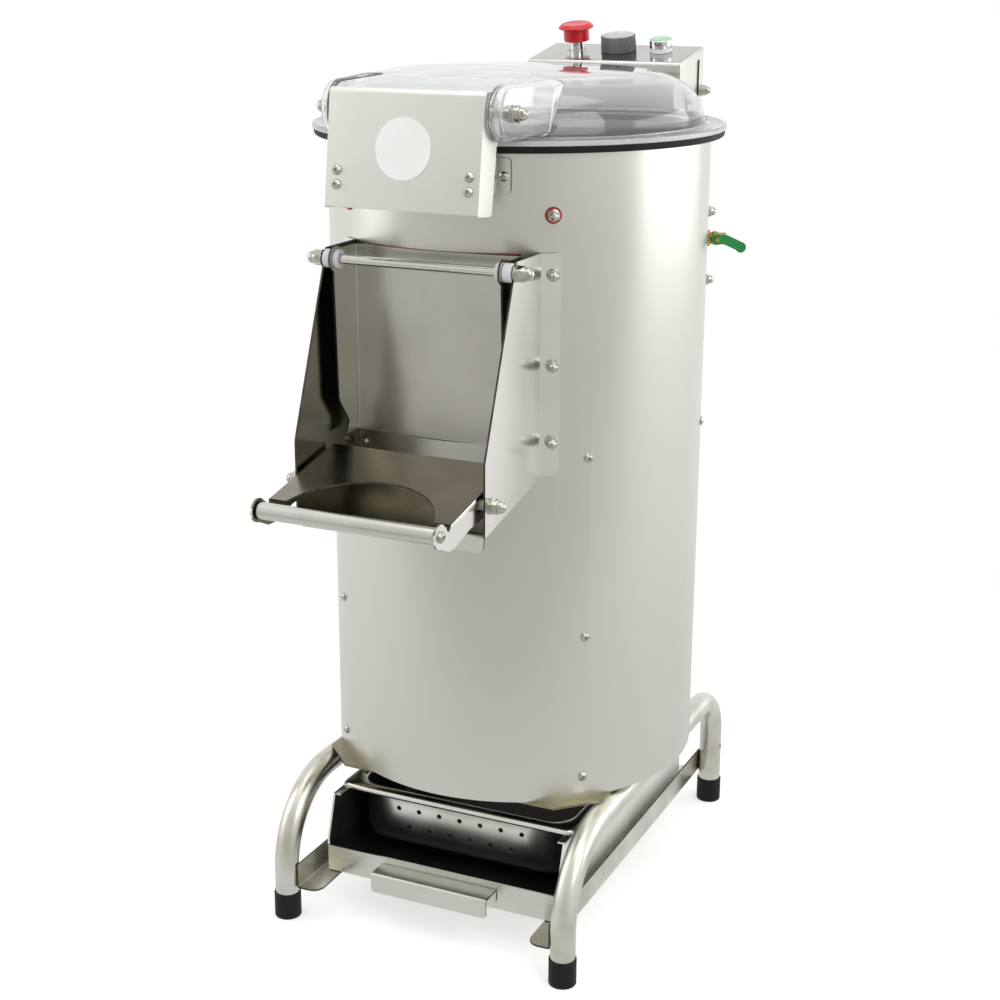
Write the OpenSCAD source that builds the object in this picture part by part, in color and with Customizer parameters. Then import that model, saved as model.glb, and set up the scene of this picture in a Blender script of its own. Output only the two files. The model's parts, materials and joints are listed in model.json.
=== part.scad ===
// Electric potato peeler: a steel drum on a tube stand, with a clear lid, a side
// discharge door over a tipping chute tray, and a peel tray below. Millimetres,
// +Z up, the chute faces -Y, and the feet stand on Z = 0.

/* [Drum] */
// Outside diameter of the drum
drum_d = 380; // [370:1:390]
// Height of the drum
drum_h = 641; // [625:1:655]
// Sheet thickness of the drum
drum_wall = 1.5; // [1:0.1:2]
// Height of the lower ring of screws above the drum's bottom edge
base_screw_h = 23.1; // [20:0.1:30]
// Height of the motor plate's screws above the drum's bottom edge
motor_screw_h = 171.6; // [165:0.1:180]
// Distance from the window's lower edge down to the chamber floor's screws
floor_below = 16; // [14.6:0.1:18.6]

/* [Stand] */
// Distance between the two leg frames' centre planes
track = 310.6; // [306:0.1:316]
// Distance from the drum's axis to the front feet
front_foot = 229.2; // [220:0.1:240]
// Distance from the drum's axis to the rear feet
rear_foot = 216.9; // [205:0.1:230]
// Outside diameter of the leg tube
tube_d = 25; // [22:0.5:26]
// Wall of the leg tube
tube_wall = 1.5; // [1:0.1:2]
// Height of the top tubes' axis above the floor
tube_h = 137.5; // [134:0.5:150]
// Radius of the front bend at the tube's axis
front_bend = 85; // [75:1:95]
// Radius of the rear bend at the tube's axis
rear_bend = 50; // [40:1:60]
// Height of the rubber foot caps
cap_h = 28; // [22:1:32]
// Wall of the foot caps
cap_wall = 1.3; // [1:0.1:2]
// Thickness of the cross plates under the drum
cross_t = 2.4; // [2:0.1:3]
// Depth of each cross plate from front to back
cross_depth = 108; // [90:1:120]

/* [Peel tray and strainer] */
// Width of the strainer pan over its rim
pan_w = 265; // [255:1:267]
// Length of the strainer pan over its rim
pan_l = 325; // [300:1:330]
// Depth of the strainer pan
pan_depth = 65; // [50:1:72]
// Sheet thickness of the strainer pan
pan_t = 1; // [0.8:0.1:1.4]
// Diameter of the strainer's holes
hole_d = 4.8; // [3:0.1:6]
// Pitch of the holes in the pan's floor
floor_pitch = 39; // [35:1:45]
// Pitch of the holes in the pan's walls
wall_pitch = 23.6; // [21:0.1:27]
// Height of the peel tray's sides
tray_h = 81.7; // [78:0.1:84]
// Height of the peel tray's front lip
tray_lip = 29.7; // [24:0.1:36]
// Width of the peel tray's handle
handle_w = 130; // [100:1:160]
// Reach of the handle in front of the peel tray
handle_reach = 26; // [20:1:32]

/* [Discharge chute] */
// Width of the discharge window in the drum
window_w = 160; // [140:1:164]
// Height of the discharge window
window_h = 180; // [170:1:188]
// Distance from the drum's top edge down to the window's lower edge
window_below = 272.4; // [267:0.1:274]
// Distance from the centre plane to the outer face of each cheek
cheek_x = 97.2; // [97:0.1:104]
// Sheet thickness of the chute parts
sheet = 2; // [1.5:0.1:2.5]
// Diameter of the door's hinge rod
rod_d = 8.6; // [8:0.1:9.5]
// Length of the bushings between the door and the cheeks
bushing_l = 8.5; // [8:0.1:11.3]
// Diameter of the grip bar
bar_d = 15.5; // [14:0.5:20]
// Distance from the tray's pivot to the grip bar
bar_reach = 87.2; // [80:0.1:95]
// Radius of the hand cut-out in the tray
cutout_r = 77; // [60:1:80]
// Diameter of the tray's pivot bolts
pivot_d = 8; // [6:0.5:10]

/* [Lid and hinge cover] */
// Outside diameter of the lid's flange
lid_d = 409.4; // [404:0.1:414]
// Height of the dome above the lid's flange
dome_h = 53; // [45:0.5:58]
// Wall of the lid
lid_t = 3; // [2.5:0.1:4]
// Thickness of the lid's seal
seal_t = 6.5; // [5:0.1:8]
// Width of the hinge cover
cover_w = 152; // [148:1:153]
// Diameter of the round badge
badge_d = 54.5; // [40:0.5:70]

/* [Controls] */
// Width of the control box
box_w = 178.8; // [170:0.1:190]
// Tilt of the control panel
panel_tilt = 10.2; // [6:0.1:14]
// Distance between the three controls
control_pitch = 50; // [45:0.5:58]
// Diameter of the emergency stop's head
estop_d = 39; // [34:0.5:44]
// Travel of the emergency stop
estop_travel = 5; // [3:0.5:6]
// Diameter of the timer knob
knob_d = 39.4; // [34:0.1:44]
// Height of the timer knob
knob_h = 17; // [15:0.5:22]
// Travel of the start button
start_travel = 2; // [1:0.5:3]

/* [Drive] */
// Diameter of the main shaft
shaft_d = 25; // [22:0.5:27]
// Outside diameter of the motor
motor_d = 124; // [110:1:130]
// Distance from the drum's axis to the motor's axis
motor_offset = 118; // [114:1:120]
// Radius of the motor's pulley
small_r = 20; // [16:1:24]
// Radius of the disc's pulley
large_r = 80; // [70:1:82]
// Diameter of the abrasive disc
disc_d = 366; // [356:1:370]
// Outside diameter of the waste pipe
pipe_d = 50; // [40:1:52]

/* [Hidden] */

$fn = 64;
running = 0.05;   // radial clearance of a shaft or pin in its bore
gap = 0.3;        // clearance between parts that move past each other
fit = 0.1;        // clearance between parts that stand inside each other

drum_r = drum_d / 2;
bore_r = drum_r - drum_wall;
ring_r = bore_r - fit;            // outside radius of the plates in the drum
plate_t = 2.4;                    // sheet of the plates in the drum
screw_head = 9;                   // button-head screws
screw_d = 5;
screw_hole = 5.4;
stud_nut = 10;                    // acorn nuts across flats, and their studs
stud_d = 6;
stud_hole = 6.4;

// Stand
tube_r = tube_d / 2;
cap_floor = 4;
leg_x = track / 2;
cross_z = tube_h + tube_r;        // underside of the cross plates
drum_z = cross_z + cross_t;       // bottom edge of the drum
cross_edge = 168;                 // outer edge of each cross plate
cross_corner = 17;
bolt_x = 100;                     // frame bolts, across
bolt_y = 125;                     // frame bolts, front to back
rail_x = leg_x - tube_r;          // outer face of the tray rails
rail_z = 34;
rail_h = 26.5;
rail_flange = 25.8;
rail_over = 2;                    // rails reach past the feet's axes
rail_corner = 12;
vent_d = 5;                       // vent hole in each rear leg

// Peel tray and strainer
tray_z = rail_z + sheet + gap;    // underside of the peel tray
rim_over = 1;                     // pan rim past the tray's sides
tray_x = pan_w / 2 - rim_over;
tray_front = 187.5;
tray_rear = tray_front - 9.5;
wall_top = tray_z + tray_h;
rim_z = wall_top + gap;           // underside of the pan's rim
rim_t = 3;
rim_w = 12.5;
handle_drop = 20.5;
pan_front = tray_front - 35.5;
pan_corner = 30;
rim_corner = 8;
pan_lip = 8;                      // flange along the top of the tray's sides

// Drum plates and drive
ring_up = 8;                      // ring above the screws in it
motor_plate_h = motor_screw_h - ring_up;
window_sill = drum_h - window_below;
floor_screw_h = window_sill - floor_below;
floor_h = floor_screw_h - 13;     // underside of the chamber floor
floor_ring = 20;
shaft_r = shaft_d / 2;
pulley_h = motor_plate_h + 16.4;  // underside of both pulleys
pulley_t = 20;
motor_h = 132;
rotor_r = 7;
fin = 3;                          // cooling fins on the motor
fin_low = 12;
fin_top = 18;
case_t = 5;
core_end = 26;                    // rotor's core from each end of the motor
stator_t = 22;
belt_t = 5;
pulley_edge = 2;                  // flanges of the pulleys, past the belt and thick
pipe_gap = 3;                     // waste pipe clear of the pulley's flange
bearing_r = shaft_r + 13.5;
housing_r = bearing_r + 10;
housing_h = 64;
bearing_t = 15;
housing_end = 4;
housing_flange_r = housing_r + 24;
housing_flange_t = 8;
disc_h = floor_h + plate_t + 5.2; // underside of the abrasive disc
disc_t = 8;
disc_rib = 9;
wave_r = 16;
hub_r = 30;
pipe_y = -(large_r + belt_t + pulley_edge + pipe_gap + pipe_d / 2);
pipe_drop = 8;                    // pipe below the drum's bottom edge
liner_t = 2;
liner_r = bore_r - 0.2;
liner_h = floor_h + floor_ring + 1;
liner_below = 73;                 // liner's top below the drum's top edge

// Discharge chute: heights above the drum's bottom edge, and reaches in
// front of the drum
window_top = window_sill + window_h;
cheek_top = window_top + 0.5;
cheek_top_out = 29.2;
cheek_low_out = 93.9;
cheek_knee_h = window_sill + 11.1;
cheek_toe_h = window_sill - 56.7;
cheek_heel_h = window_sill - 29.9;
floor_lip = 14;                   // lip at the front of the fixed floor
cheek_in = cheek_x - sheet;
inside_drum = -0.8 * drum_r;      // where profiles end before the drum cuts them
flange_angle = 5.3;
rod_r = rod_d / 2;
bushing_r = 8.7;
bushing_end = 5;                  // bushings on the inner side of the door's arms
rod_out = 31.2;
rod_over = 9.5;                   // rod's ends past the cheeks
rod_nut = 14.8;                   // nuts on the rod, across corners
washer = 1.6;
rod_h = window_top - 9.3;
arm_x = cheek_in - bushing_l - 2 * fit;   // outer face of the door's arms
door_fold = 5.7;                  // fold line of the door, behind the drum's front
door_bow = 6.7;                   // how far the door's face bows forward
door_top = window_top - 0.5;
door_bottom = window_sill + 1.5;
gasket_w = 9;
tray_slope = 0.2;
pivot_r = pivot_d / 2;
pivot_out = 83.2;
pivot_h = window_sill - 29.3;
plate_rise = 13.7;                // tray plate above the pivot
tray_back = 49.2;                 // tray plate behind the pivot
tray_fore = 66;                   // tray plate ahead of the pivot
tray_out_x = cheek_in - 4;        // outer face of the tray's flanges
bar_drop = 4.4;                   // grip bar below the pivot
bar_r = bar_d / 2;
bar_bore_r = 3.2;                 // hole for the screws in the bar's ends
ring_t = 2;                       // plastic ring at each end of the bar
nose_r = bar_r + 3.25;

// Lid and cover: heights above the drum's top edge
rim_h = drum_h;
lid_r = lid_d / 2;
lip_t = 2.4;                      // lip turned down round the lid's flange
lip_drop = 4.5;
seal_r = lid_r - lip_t - 2.6;
seal_bead = 1.2;                  // seal's outer edge below the drum's top edge
bead_w = 5.5;
dome_r = lid_r - 22.2;
dome_round = 64.5;
crown_h = 2;
lid_h = seal_t + fit;             // underside of the lid's flange
flange_t = 3.5;
shoulder = 4.5;                   // step from the flange up to the dome
hinge_out = 24;
hinge_h = lid_h + 29;
hinge_bolt_r = 4;
ear_r = 24;
cover_x = cover_w / 2;
cover_top = 55.1;
cover_bottom = -49.7;
cover_out_top = 50.6;
cover_out_bottom = 65;
return_out = cover_out_top - 14;  // rear edge of the cover's top return
lug_r = 13;                       // cover's lugs round the hinge bolts
cover_tilt = atan((cover_out_bottom - cover_out_top) / (cover_top - cover_bottom));
bracket_x = 58;                   // inner face of the bracket's arms
bracket_top = -6.4;
bracket_bottom = -38.4;

// Controls: reaches behind the drum, heights above its top edge
panel_near = 31;
panel_far = 110;
panel_h = 56.6;                   // top of the panel at its near edge
panel_lip = 10.6;
panel_t = 1.5;
strap = 15;                       // rear strap of the panel's sides
strap_bottom = -7;
box_near = panel_near + 5;
box_far = panel_far - strap;
box_bottom = -5;
control_out = panel_near + 48;
box_x = box_w / 2;
control_x = [-control_pitch, 0, control_pitch];
panel_hole_r = 11;                // standard hole for the controls
far_h = panel_h + (panel_far - panel_near) * tan(panel_tilt);
control_h = panel_h + (control_out - panel_near) * tan(panel_tilt);

// Frame of the whole: the origin is under the middle of the overall box
nose_out = pivot_out + bar_reach + nose_r;
drum_y = (nose_out - panel_far) / 2;

// ---------------------------------------------------------------- helpers

// The drum's axis, at its bottom edge
module at_drum() { translate([0, drum_y, drum_z]) children(); }

// The drum's axis, at its top edge
module at_rim() { translate([0, drum_y, drum_z + rim_h]) children(); }

// The drum's axis, on the floor
module at_floor() { translate([0, drum_y, 0]) children(); }

// A profile drawn as [y, z], made into a plate from x to x + t
module side_plate(x, t) { translate([x, 0, 0]) rotate([90, 0, 90]) linear_extrude(t) children(); }

module pair() {
    children();
    mirror([1, 0, 0]) children();
}

// A long hole along X, through everything
module x_hole(r) { rotate([0, 90, 0]) cylinder(r = r, h = 500, center = true); }

// Local +Z points out of the drum at this azimuth and height
module radial(az, z) { rotate([0, 0, az]) translate([0, 0, z]) rotate([0, 90, 0]) children(); }

// y of a point that lies a reach ahead of the drum, or behind it
function ahead(reach) = -(drum_r + reach);
function behind(reach) = drum_r + reach;

module disc(r, t) { cylinder(r = r, h = t); }

module ring(r_out, r_in, t) {
    difference() {
        cylinder(r = r_out, h = t);
        translate([0, 0, -1]) cylinder(r = r_in, h = t + 2);
    }
}

module rounded_rect(w, l, r) {
    square([w - 2 * r, l], center = true);
    square([w, l - 2 * r], center = true);
    for (x = [-1, 1], y = [-1, 1]) translate([x * (w / 2 - r), y * (l / 2 - r)]) circle(r = r);
}

// Button-head screw: its shank goes down from the seat
module button_screw(head_d, shank_d, shank_l) {
    difference() {
        union() {
            cylinder(d = head_d, h = 0.12 * head_d);
            translate([0, 0, 0.12 * head_d]) cylinder(d1 = head_d, d2 = 0.55 * head_d, h = 0.2 * head_d);
        }
        translate([0, 0, 0.1 * head_d]) cylinder(d = 0.34 * head_d, h = head_d, $fn = 6);
    }
    translate([0, 0, -shank_l]) cylinder(d = shank_d, h = shank_l + 0.01);
}

// Acorn nut on a washer, with the stud that it is screwed on
module acorn_nut(af, stud_d, stud_l) {
    washer_t = 0.12 * af;
    hex_h = 0.5 * af;
    cylinder(d = 1.22 * af, h = washer_t);
    translate([0, 0, washer_t]) cylinder(d = af / cos(30), h = hex_h, $fn = 6);
    translate([0, 0, washer_t + hex_h]) cylinder(d = 0.86 * af, h = 0.15 * af);
    translate([0, 0, washer_t + 0.65 * af]) sphere(d = 0.86 * af);
    translate([0, 0, -stud_l]) cylinder(d = stud_d, h = stud_l + washer_t);
}

// ------------------------------------------------------------------ stand

module tube_section() {
    difference() {
        circle(r = tube_r);
        circle(r = tube_r - tube_wall);
    }
}

module tube_bend(r, start) {
    rotate([90, 0, 90]) rotate([0, 0, start]) rotate_extrude(angle = 90) translate([r, 0]) tube_section();
}

// One bent tube: front leg, top run and rear leg
module leg_frame(side) {
    at_floor() translate([side * leg_x, 0, 0]) difference() {
        union() {
            translate([0, -front_foot, cap_floor])
                linear_extrude(tube_h - front_bend - cap_floor) tube_section();
            translate([0, front_bend - front_foot, tube_h - front_bend]) tube_bend(front_bend, 90);
            translate([0, front_bend - front_foot, tube_h]) rotate([-90, 0, 0])
                linear_extrude(front_foot - front_bend + rear_foot - rear_bend) tube_section();
            translate([0, rear_foot - rear_bend, tube_h - rear_bend]) tube_bend(rear_bend, 0);
            translate([0, rear_foot, cap_floor])
                linear_extrude(tube_h - rear_bend - cap_floor) tube_section();
        }
        translate([side * tube_r, rear_foot, rail_z + 35])
            rotate([0, 90, 0]) cylinder(d = vent_d, h = 6, center = true);
    }
}

module left_leg_frame() { color("silver") leg_frame(-1); }

module right_leg_frame() { color("silver") leg_frame(1); }

module foot_caps() {
    color([0.06, 0.06, 0.06]) at_floor() for (x = [-leg_x, leg_x], y = [-front_foot, rear_foot])
        translate([x, y, 0]) difference() {
            union() {
                cylinder(r1 = tube_r + cap_wall - 1, r2 = tube_r + cap_wall, h = 1);
                translate([0, 0, 1]) cylinder(r = tube_r + cap_wall, h = cap_h - 1);
            }
            translate([0, 0, cap_floor]) cylinder(r = tube_r + running, h = cap_h);
        }
}

module frame_bolt_places() {
    for (x = [-bolt_x, bolt_x], y = [-bolt_y, bolt_y]) translate([x, y, 0]) children();
}

module cross_plates() {
    color("silver") at_floor() difference() {
        for (side = [-1, 1]) translate([0, side * (cross_edge - cross_depth / 2), cross_z])
            linear_extrude(cross_t) rounded_rect(2 * leg_x, cross_depth, cross_corner);
        frame_bolt_places() translate([0, 0, cross_z - 1]) cylinder(r = 4.2, h = cross_t + 2);
        translate([0, pipe_y, cross_z - 1]) cylinder(r = pipe_d / 2 + 1, h = cross_t + 2);
    }
}

// L-shaped rails, welded to the insides of the legs
module tray_rails() {
    rail_l = front_foot + rear_foot + 2 * rail_over;
    color("silver") at_floor() pair() translate([0, -front_foot - rail_over, rail_z]) {
        translate([rail_x - sheet, 0, 0]) cube([sheet, rail_l, rail_h]);
        translate([rail_x - rail_flange, 0, 0]) linear_extrude(sheet) {
            translate([0, rail_corner]) square([rail_flange, rail_l - 2 * rail_corner]);
            translate([rail_corner, 0]) square([rail_flange - rail_corner, rail_l]);
            for (y = [rail_corner, rail_l - rail_corner]) translate([rail_corner, y]) circle(r = rail_corner);
        }
    }
}

module frame_bolts() {
    color("gainsboro") at_floor() frame_bolt_places() {
        translate([0, 0, cross_z - 5.3]) cylinder(d = 15, h = 5.3, $fn = 6);
        translate([0, 0, cross_z - 0.01]) cylinder(r = 4, h = cross_t + plate_t + 8);
        translate([0, 0, drum_z + plate_t]) cylinder(d = 15, h = 6.5, $fn = 6);
    }
}

// ------------------------------------------------------------------- drum

// Azimuths of the screws round the drum
base_screw_az = [-45, 45, 135, -135];
floor_screw_az = [-45, 15, 75, 135, 195, 243];
valve_az = 32;
stud_az = 30;
stud_h = [drum_h - 81.7, drum_h - 151.4];
valve_h = drum_h - 110;
front_stud_h = drum_h - 57.8;
cheek_az = -acos(cheek_x / drum_r);
flange_az = cheek_az + 2.95;
cheek_nut_h = [window_top - 19.4, window_top - 104, window_top - 177];
conduit_r = 9;
conduit_h = motor_plate_h - 60;
conduit_x = -30;

// Every acorn nut on the drum: its azimuth, height and seat
module acorn_places() {
    for (az = [flange_az, 180 - flange_az]) {
        for (h = cheek_nut_h) radial(az, h) translate([0, 0, drum_r + sheet]) children();
        radial(az, front_stud_h) translate([0, 0, drum_r]) children();
    }
    for (h = stud_h) radial(stud_az, h) translate([0, 0, drum_r]) children();
}

// Every button-head screw on the drum
module drum_screw_places() {
    for (az = base_screw_az, h = [base_screw_h, motor_screw_h])
        radial(az, h) translate([0, 0, drum_r]) children();
    for (az = floor_screw_az) radial(az, floor_screw_h) translate([0, 0, drum_r]) children();
}

module screw_holes() { drum_screw_places() cylinder(d = screw_hole, h = 20, center = true, $fn = 32); }

module window_cut(w, bottom, top) {
    translate([-w / 2, -drum_r - 20, bottom]) cube([w, drum_r, top - bottom]);
}

module drum_shell() {
    color([0.78, 0.78, 0.76]) at_drum() difference() {
        ring(drum_r, bore_r, drum_h, $fn = 128);
        window_cut(window_w, window_sill, window_top);
        screw_holes();
        acorn_places() cylinder(d = stud_hole, h = 20, center = true, $fn = 32);
        translate([0, 0, rim_h]) tab_screw_places() cylinder(d = screw_hole, h = 20, center = true, $fn = 32);
        radial(valve_az, valve_h) translate([0, 0, drum_r - 12]) cylinder(r = 6.5, h = 20);
        translate([conduit_x, 0, conduit_h])
            rotate([-90, 0, 0]) cylinder(r = conduit_r + 0.5, h = drum_r + 10);
    }
}

module drum_screws() {
    color("gainsboro") at_drum() drum_screw_places()
        button_screw(screw_head, screw_d, drum_wall + plate_t + 2);
}

module acorn_nuts() {
    color("gainsboro") at_drum() acorn_places() acorn_nut(stud_nut, stud_d, drum_wall + sheet + 3);
}

// A round plate with an upturned edge, which the drum's screws hold
module drum_plate(h, edge_h) {
    translate([0, 0, h]) {
        disc(ring_r, plate_t, $fn = 128);
        ring(ring_r, ring_r - plate_t, edge_h, $fn = 128);
    }
}

module base_plate() {
    color("silver") at_drum() difference() {
        drum_plate(0, base_screw_h + 12);
        screw_holes();
        frame_bolt_places() translate([0, 0, -1]) cylinder(r = 4.2, h = 20);
        translate([0, pipe_y, -1]) cylinder(r = pipe_d / 2 + 1, h = 20);
    }
}

module motor_plate() {
    color("silver") at_drum() difference() {
        drum_plate(motor_plate_h, 2 * ring_up);
        screw_holes();
        translate([0, pipe_y, motor_plate_h - 1]) cylinder(r = pipe_d / 2 + 1, h = 20);
        translate([0, motor_offset, motor_plate_h - 1]) cylinder(r = rotor_r + 4, h = 20);
    }
}

module wall_liner() {
    color([0.3, 0.3, 0.3]) at_drum() difference() {
        translate([0, 0, liner_h])
            ring(liner_r, liner_r - liner_t, drum_h - liner_below - liner_h, $fn = 128);
        window_cut(window_w + 2, window_sill - 1, window_top + 1);
        acorn_places() cylinder(d = stud_hole + 1.6, h = 20, center = true, $fn = 32);
        radial(valve_az, valve_h) translate([0, 0, drum_r - 16]) cylinder(r = 9, h = 24);
    }
}

// ------------------------------------------------------------------ drive

module at_motor(h) { translate([0, motor_offset, h]) children(); }

module motor_body() {
    r = motor_d / 2;
    color([0.25, 0.3, 0.35]) at_drum() at_motor(motor_plate_h - motor_h) difference() {
        union() {
            cylinder(r = r, h = motor_h);
            for (a = [0 : 30 : 330]) rotate([0, 0, a]) translate([r - 1, -fin / 2, fin_low])
                cube([fin + 1, fin, motor_h - fin_low - fin_top]);
        }
        translate([0, 0, case_t]) cylinder(r = r - case_t, h = motor_h - 2 * case_t);
        translate([0, 0, -1]) cylinder(r = rotor_r + running, h = motor_h + 2);
    }
}

module motor_rotor() {
    color("gray") at_drum() at_motor(motor_plate_h - motor_h) {
        translate([0, 0, -2]) cylinder(r = rotor_r, h = motor_h + pulley_h - motor_plate_h + pulley_t + 4);
        translate([0, 0, core_end]) cylinder(r = motor_d / 2 - stator_t, h = motor_h - 2 * core_end);
    }
}

module pulley(r, hole_r) {
    difference() {
        union() {
            cylinder(r = r, h = pulley_t);
            for (h = [0, pulley_t - pulley_edge])
                translate([0, 0, h]) cylinder(r = r + belt_t + pulley_edge, h = pulley_edge);
        }
        translate([0, 0, -1]) cylinder(r = hole_r, h = pulley_t + 2);
    }
}

module motor_pulley() { color("dimgray") at_drum() at_motor(pulley_h) pulley(small_r, rotor_r + running); }

// Outline of a belt round both pulleys, grown by d
function belt_side(d) = let(lean = asin((large_r - small_r) / motor_offset)) [
    for (a = [180 - lean : 6 : 360 + lean]) (large_r + d) * [cos(a), sin(a)],
    for (a = [lean : 6 : 180 - lean]) [0, motor_offset] + (small_r + d) * [cos(a), sin(a)],
];

module drive_belt() {
    color([0.08, 0.08, 0.08]) at_drum() translate([0, 0, pulley_h + pulley_edge + gap])
        linear_extrude(pulley_t - 2 * pulley_edge - 2 * gap) difference() {
            polygon(belt_side(gap + belt_t));
            polygon(belt_side(gap));
        }
}

module disc_pulley() {
    color("dimgray") at_drum() translate([0, 0, pulley_h]) pulley(large_r, shaft_r + running);
}

// Shaft with a shoulder under the pulley and one under the disc
module main_shaft() {
    color("gainsboro") at_drum() {
        translate([0, 0, pulley_h - 6]) cylinder(r = shaft_r + 4, h = 6);
        translate([0, 0, pulley_h - 6]) cylinder(r = shaft_r, h = disc_h + disc_t - pulley_h + 8);
        translate([0, 0, disc_h - 2]) cylinder(r = hub_r, h = 2);
    }
}

module bearing_housing() {
    color([0.35, 0.37, 0.4]) at_drum() difference() {
        union() {
            translate([0, 0, floor_h - housing_h]) cylinder(r = housing_r, h = housing_h);
            translate([0, 0, floor_h - housing_flange_t])
                cylinder(r = housing_flange_r, h = housing_flange_t);
        }
        translate([0, 0, floor_h - housing_h + housing_end]) cylinder(r = bearing_r + running, h = housing_h);
        translate([0, 0, floor_h - housing_h - 1]) cylinder(r = shaft_r + 2, h = housing_h);
    }
}

module bearings() {
    color("gainsboro") at_drum() for (h = [housing_end, housing_end + bearing_t + 10])
        translate([0, 0, floor_h - housing_h + h]) ring(bearing_r, shaft_r + running, bearing_t);
}

module shaft_seal() {
    color([0.1, 0.1, 0.1]) at_drum() translate([0, 0, floor_h - 14])
        ring(bearing_r, shaft_r + running, 10);
}

module chamber_floor() {
    color("silver") at_drum() difference() {
        drum_plate(floor_h, floor_ring);
        screw_holes();
        translate([0, 0, floor_h - 1]) cylinder(r = shaft_r + 2, h = 20);
        translate([0, pipe_y, floor_h - 1]) cylinder(r = pipe_d / 2 - 2, h = 20);
    }
}

module waste_pipe() {
    color([0.45, 0.45, 0.45]) at_drum() translate([0, pipe_y, -pipe_drop])
        ring(pipe_d / 2, pipe_d / 2 - 2, floor_h + pipe_drop);
}

// Abrasive disc with three low waves that throw the potatoes at the wall
module abrasive_disc() {
    color([0.25, 0.24, 0.23]) at_drum() translate([0, 0, disc_h]) difference() {
        union() {
            disc(disc_d / 2, disc_t, $fn = 128);
            for (a = [90, 210, 330]) rotate([0, 0, a]) intersection() {
                translate([hub_r + 8, -wave_r, disc_t]) cube([disc_d / 2 - hub_r - 20, 2 * wave_r, disc_rib]);
                translate([0, 0, disc_t - wave_r])
                    rotate([0, 90, 0]) cylinder(r = wave_r + disc_rib, h = disc_d / 2);
            }
        }
        translate([0, 0, -1]) cylinder(r = shaft_r + running, h = disc_t + 2);
    }
}

module disc_cap() {
    color("gainsboro") at_drum() translate([0, 0, disc_h + disc_t]) difference() {
        union() {
            cylinder(r = 22, h = 5);
            translate([0, 0, 5]) cylinder(r1 = 22, r2 = 13, h = 6);
        }
        translate([0, 0, -1]) cylinder(r = shaft_r + running, h = 3 + running);
    }
}

// ------------------------------------------------- peel tray and strainer

module peel_tray() {
    color([0.2, 0.2, 0.2]) at_floor() {
        translate([-tray_x, -tray_front, tray_z]) cube([2 * tray_x, tray_front + tray_rear, sheet]);
        translate([-tray_x, -tray_front, tray_z]) cube([2 * tray_x, sheet, tray_lip]);
        translate([-tray_x, tray_rear - sheet, tray_z]) cube([2 * tray_x, sheet, tray_h]);
        pair() {
            side_plate(tray_x - sheet, sheet) polygon([
                [-tray_front, tray_z], [-tray_front, tray_z + tray_lip], [-tray_front + 17, wall_top],
                [tray_rear, wall_top], [tray_rear, tray_z],
            ]);
            translate([tray_x - pan_lip, -tray_front + 17, wall_top - sheet])
                cube([pan_lip, tray_front + tray_rear - 17, sheet]);
        }
    }
}

// Bent grip plate on the peel tray's front lip
module tray_handle() {
    top = tray_z + tray_lip - 6;
    color("silver") at_floor() {
        translate([-handle_w / 2, -tray_front - handle_reach, top]) {
            translate([0, 0, -sheet]) cube([handle_w, handle_reach, sheet]);
            translate([0, 0, -handle_drop]) cube([handle_w, sheet, handle_drop]);
            translate([0, handle_reach - sheet, -handle_drop + 4]) cube([handle_w, sheet, handle_drop - 4]);
        }
    }
}

pan_mid = pan_l / 2 - pan_front;
pan_body_w = pan_w - 2 * rim_w;
pan_body_l = pan_l - 2 * rim_w;

// A row of holes with n holes, centred
module hole_row(n, pitch) {
    for (i = [0 : n - 1]) translate([(i - (n - 1) / 2) * pitch, 0, 0])
        cylinder(d = hole_d, h = 3 * rim_w, center = true, $fn = 16);
}

// Two staggered rows through a wall
module wall_rows(n) {
    translate([0, 0, rim_z + rim_t - 22.2]) rotate([90, 0, 0]) hole_row(n, wall_pitch);
    translate([0, 0, rim_z + rim_t - 42]) rotate([90, 0, 0]) hole_row(n - 1, wall_pitch);
}

module strainer_pan() {
    top = rim_z + rim_t;
    nx = floor((pan_body_w - 2 * pan_corner) / floor_pitch);
    ny = floor((pan_body_l - 2 * pan_corner) / floor_pitch);
    color("gainsboro") at_floor() translate([0, pan_mid, 0]) difference() {
        union() {
            translate([0, 0, rim_z]) linear_extrude(rim_t) rounded_rect(pan_w, pan_l, rim_corner);
            translate([0, 0, top - pan_depth])
                linear_extrude(pan_depth - 1) rounded_rect(pan_body_w, pan_body_l, pan_corner);
        }
        translate([0, 0, top - pan_depth + pan_t]) linear_extrude(pan_depth)
            rounded_rect(pan_body_w - 2 * pan_t, pan_body_l - 2 * pan_t, pan_corner - pan_t);
        for (j = [-ny / 2 : ny / 2])
            translate([0, j * floor_pitch, top - pan_depth]) hole_row(nx + 1, floor_pitch);
        for (y = [-1, 1]) translate([0, y * pan_body_l / 2, 0]) wall_rows(7);
        for (x = [-1, 1]) translate([x * pan_body_w / 2, 0, 0]) rotate([0, 0, 90]) wall_rows(9);
    }
}

// -------------------------------------------------------- discharge chute

module at_rod() { translate([0, ahead(rod_out), rod_h]) children(); }

module at_pivot() { translate([0, ahead(pivot_out), pivot_h]) children(); }

module cheek_holes() {
    at_rod() x_hole(rod_r + running);
    at_pivot() x_hole(pivot_r + running);
}

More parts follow.
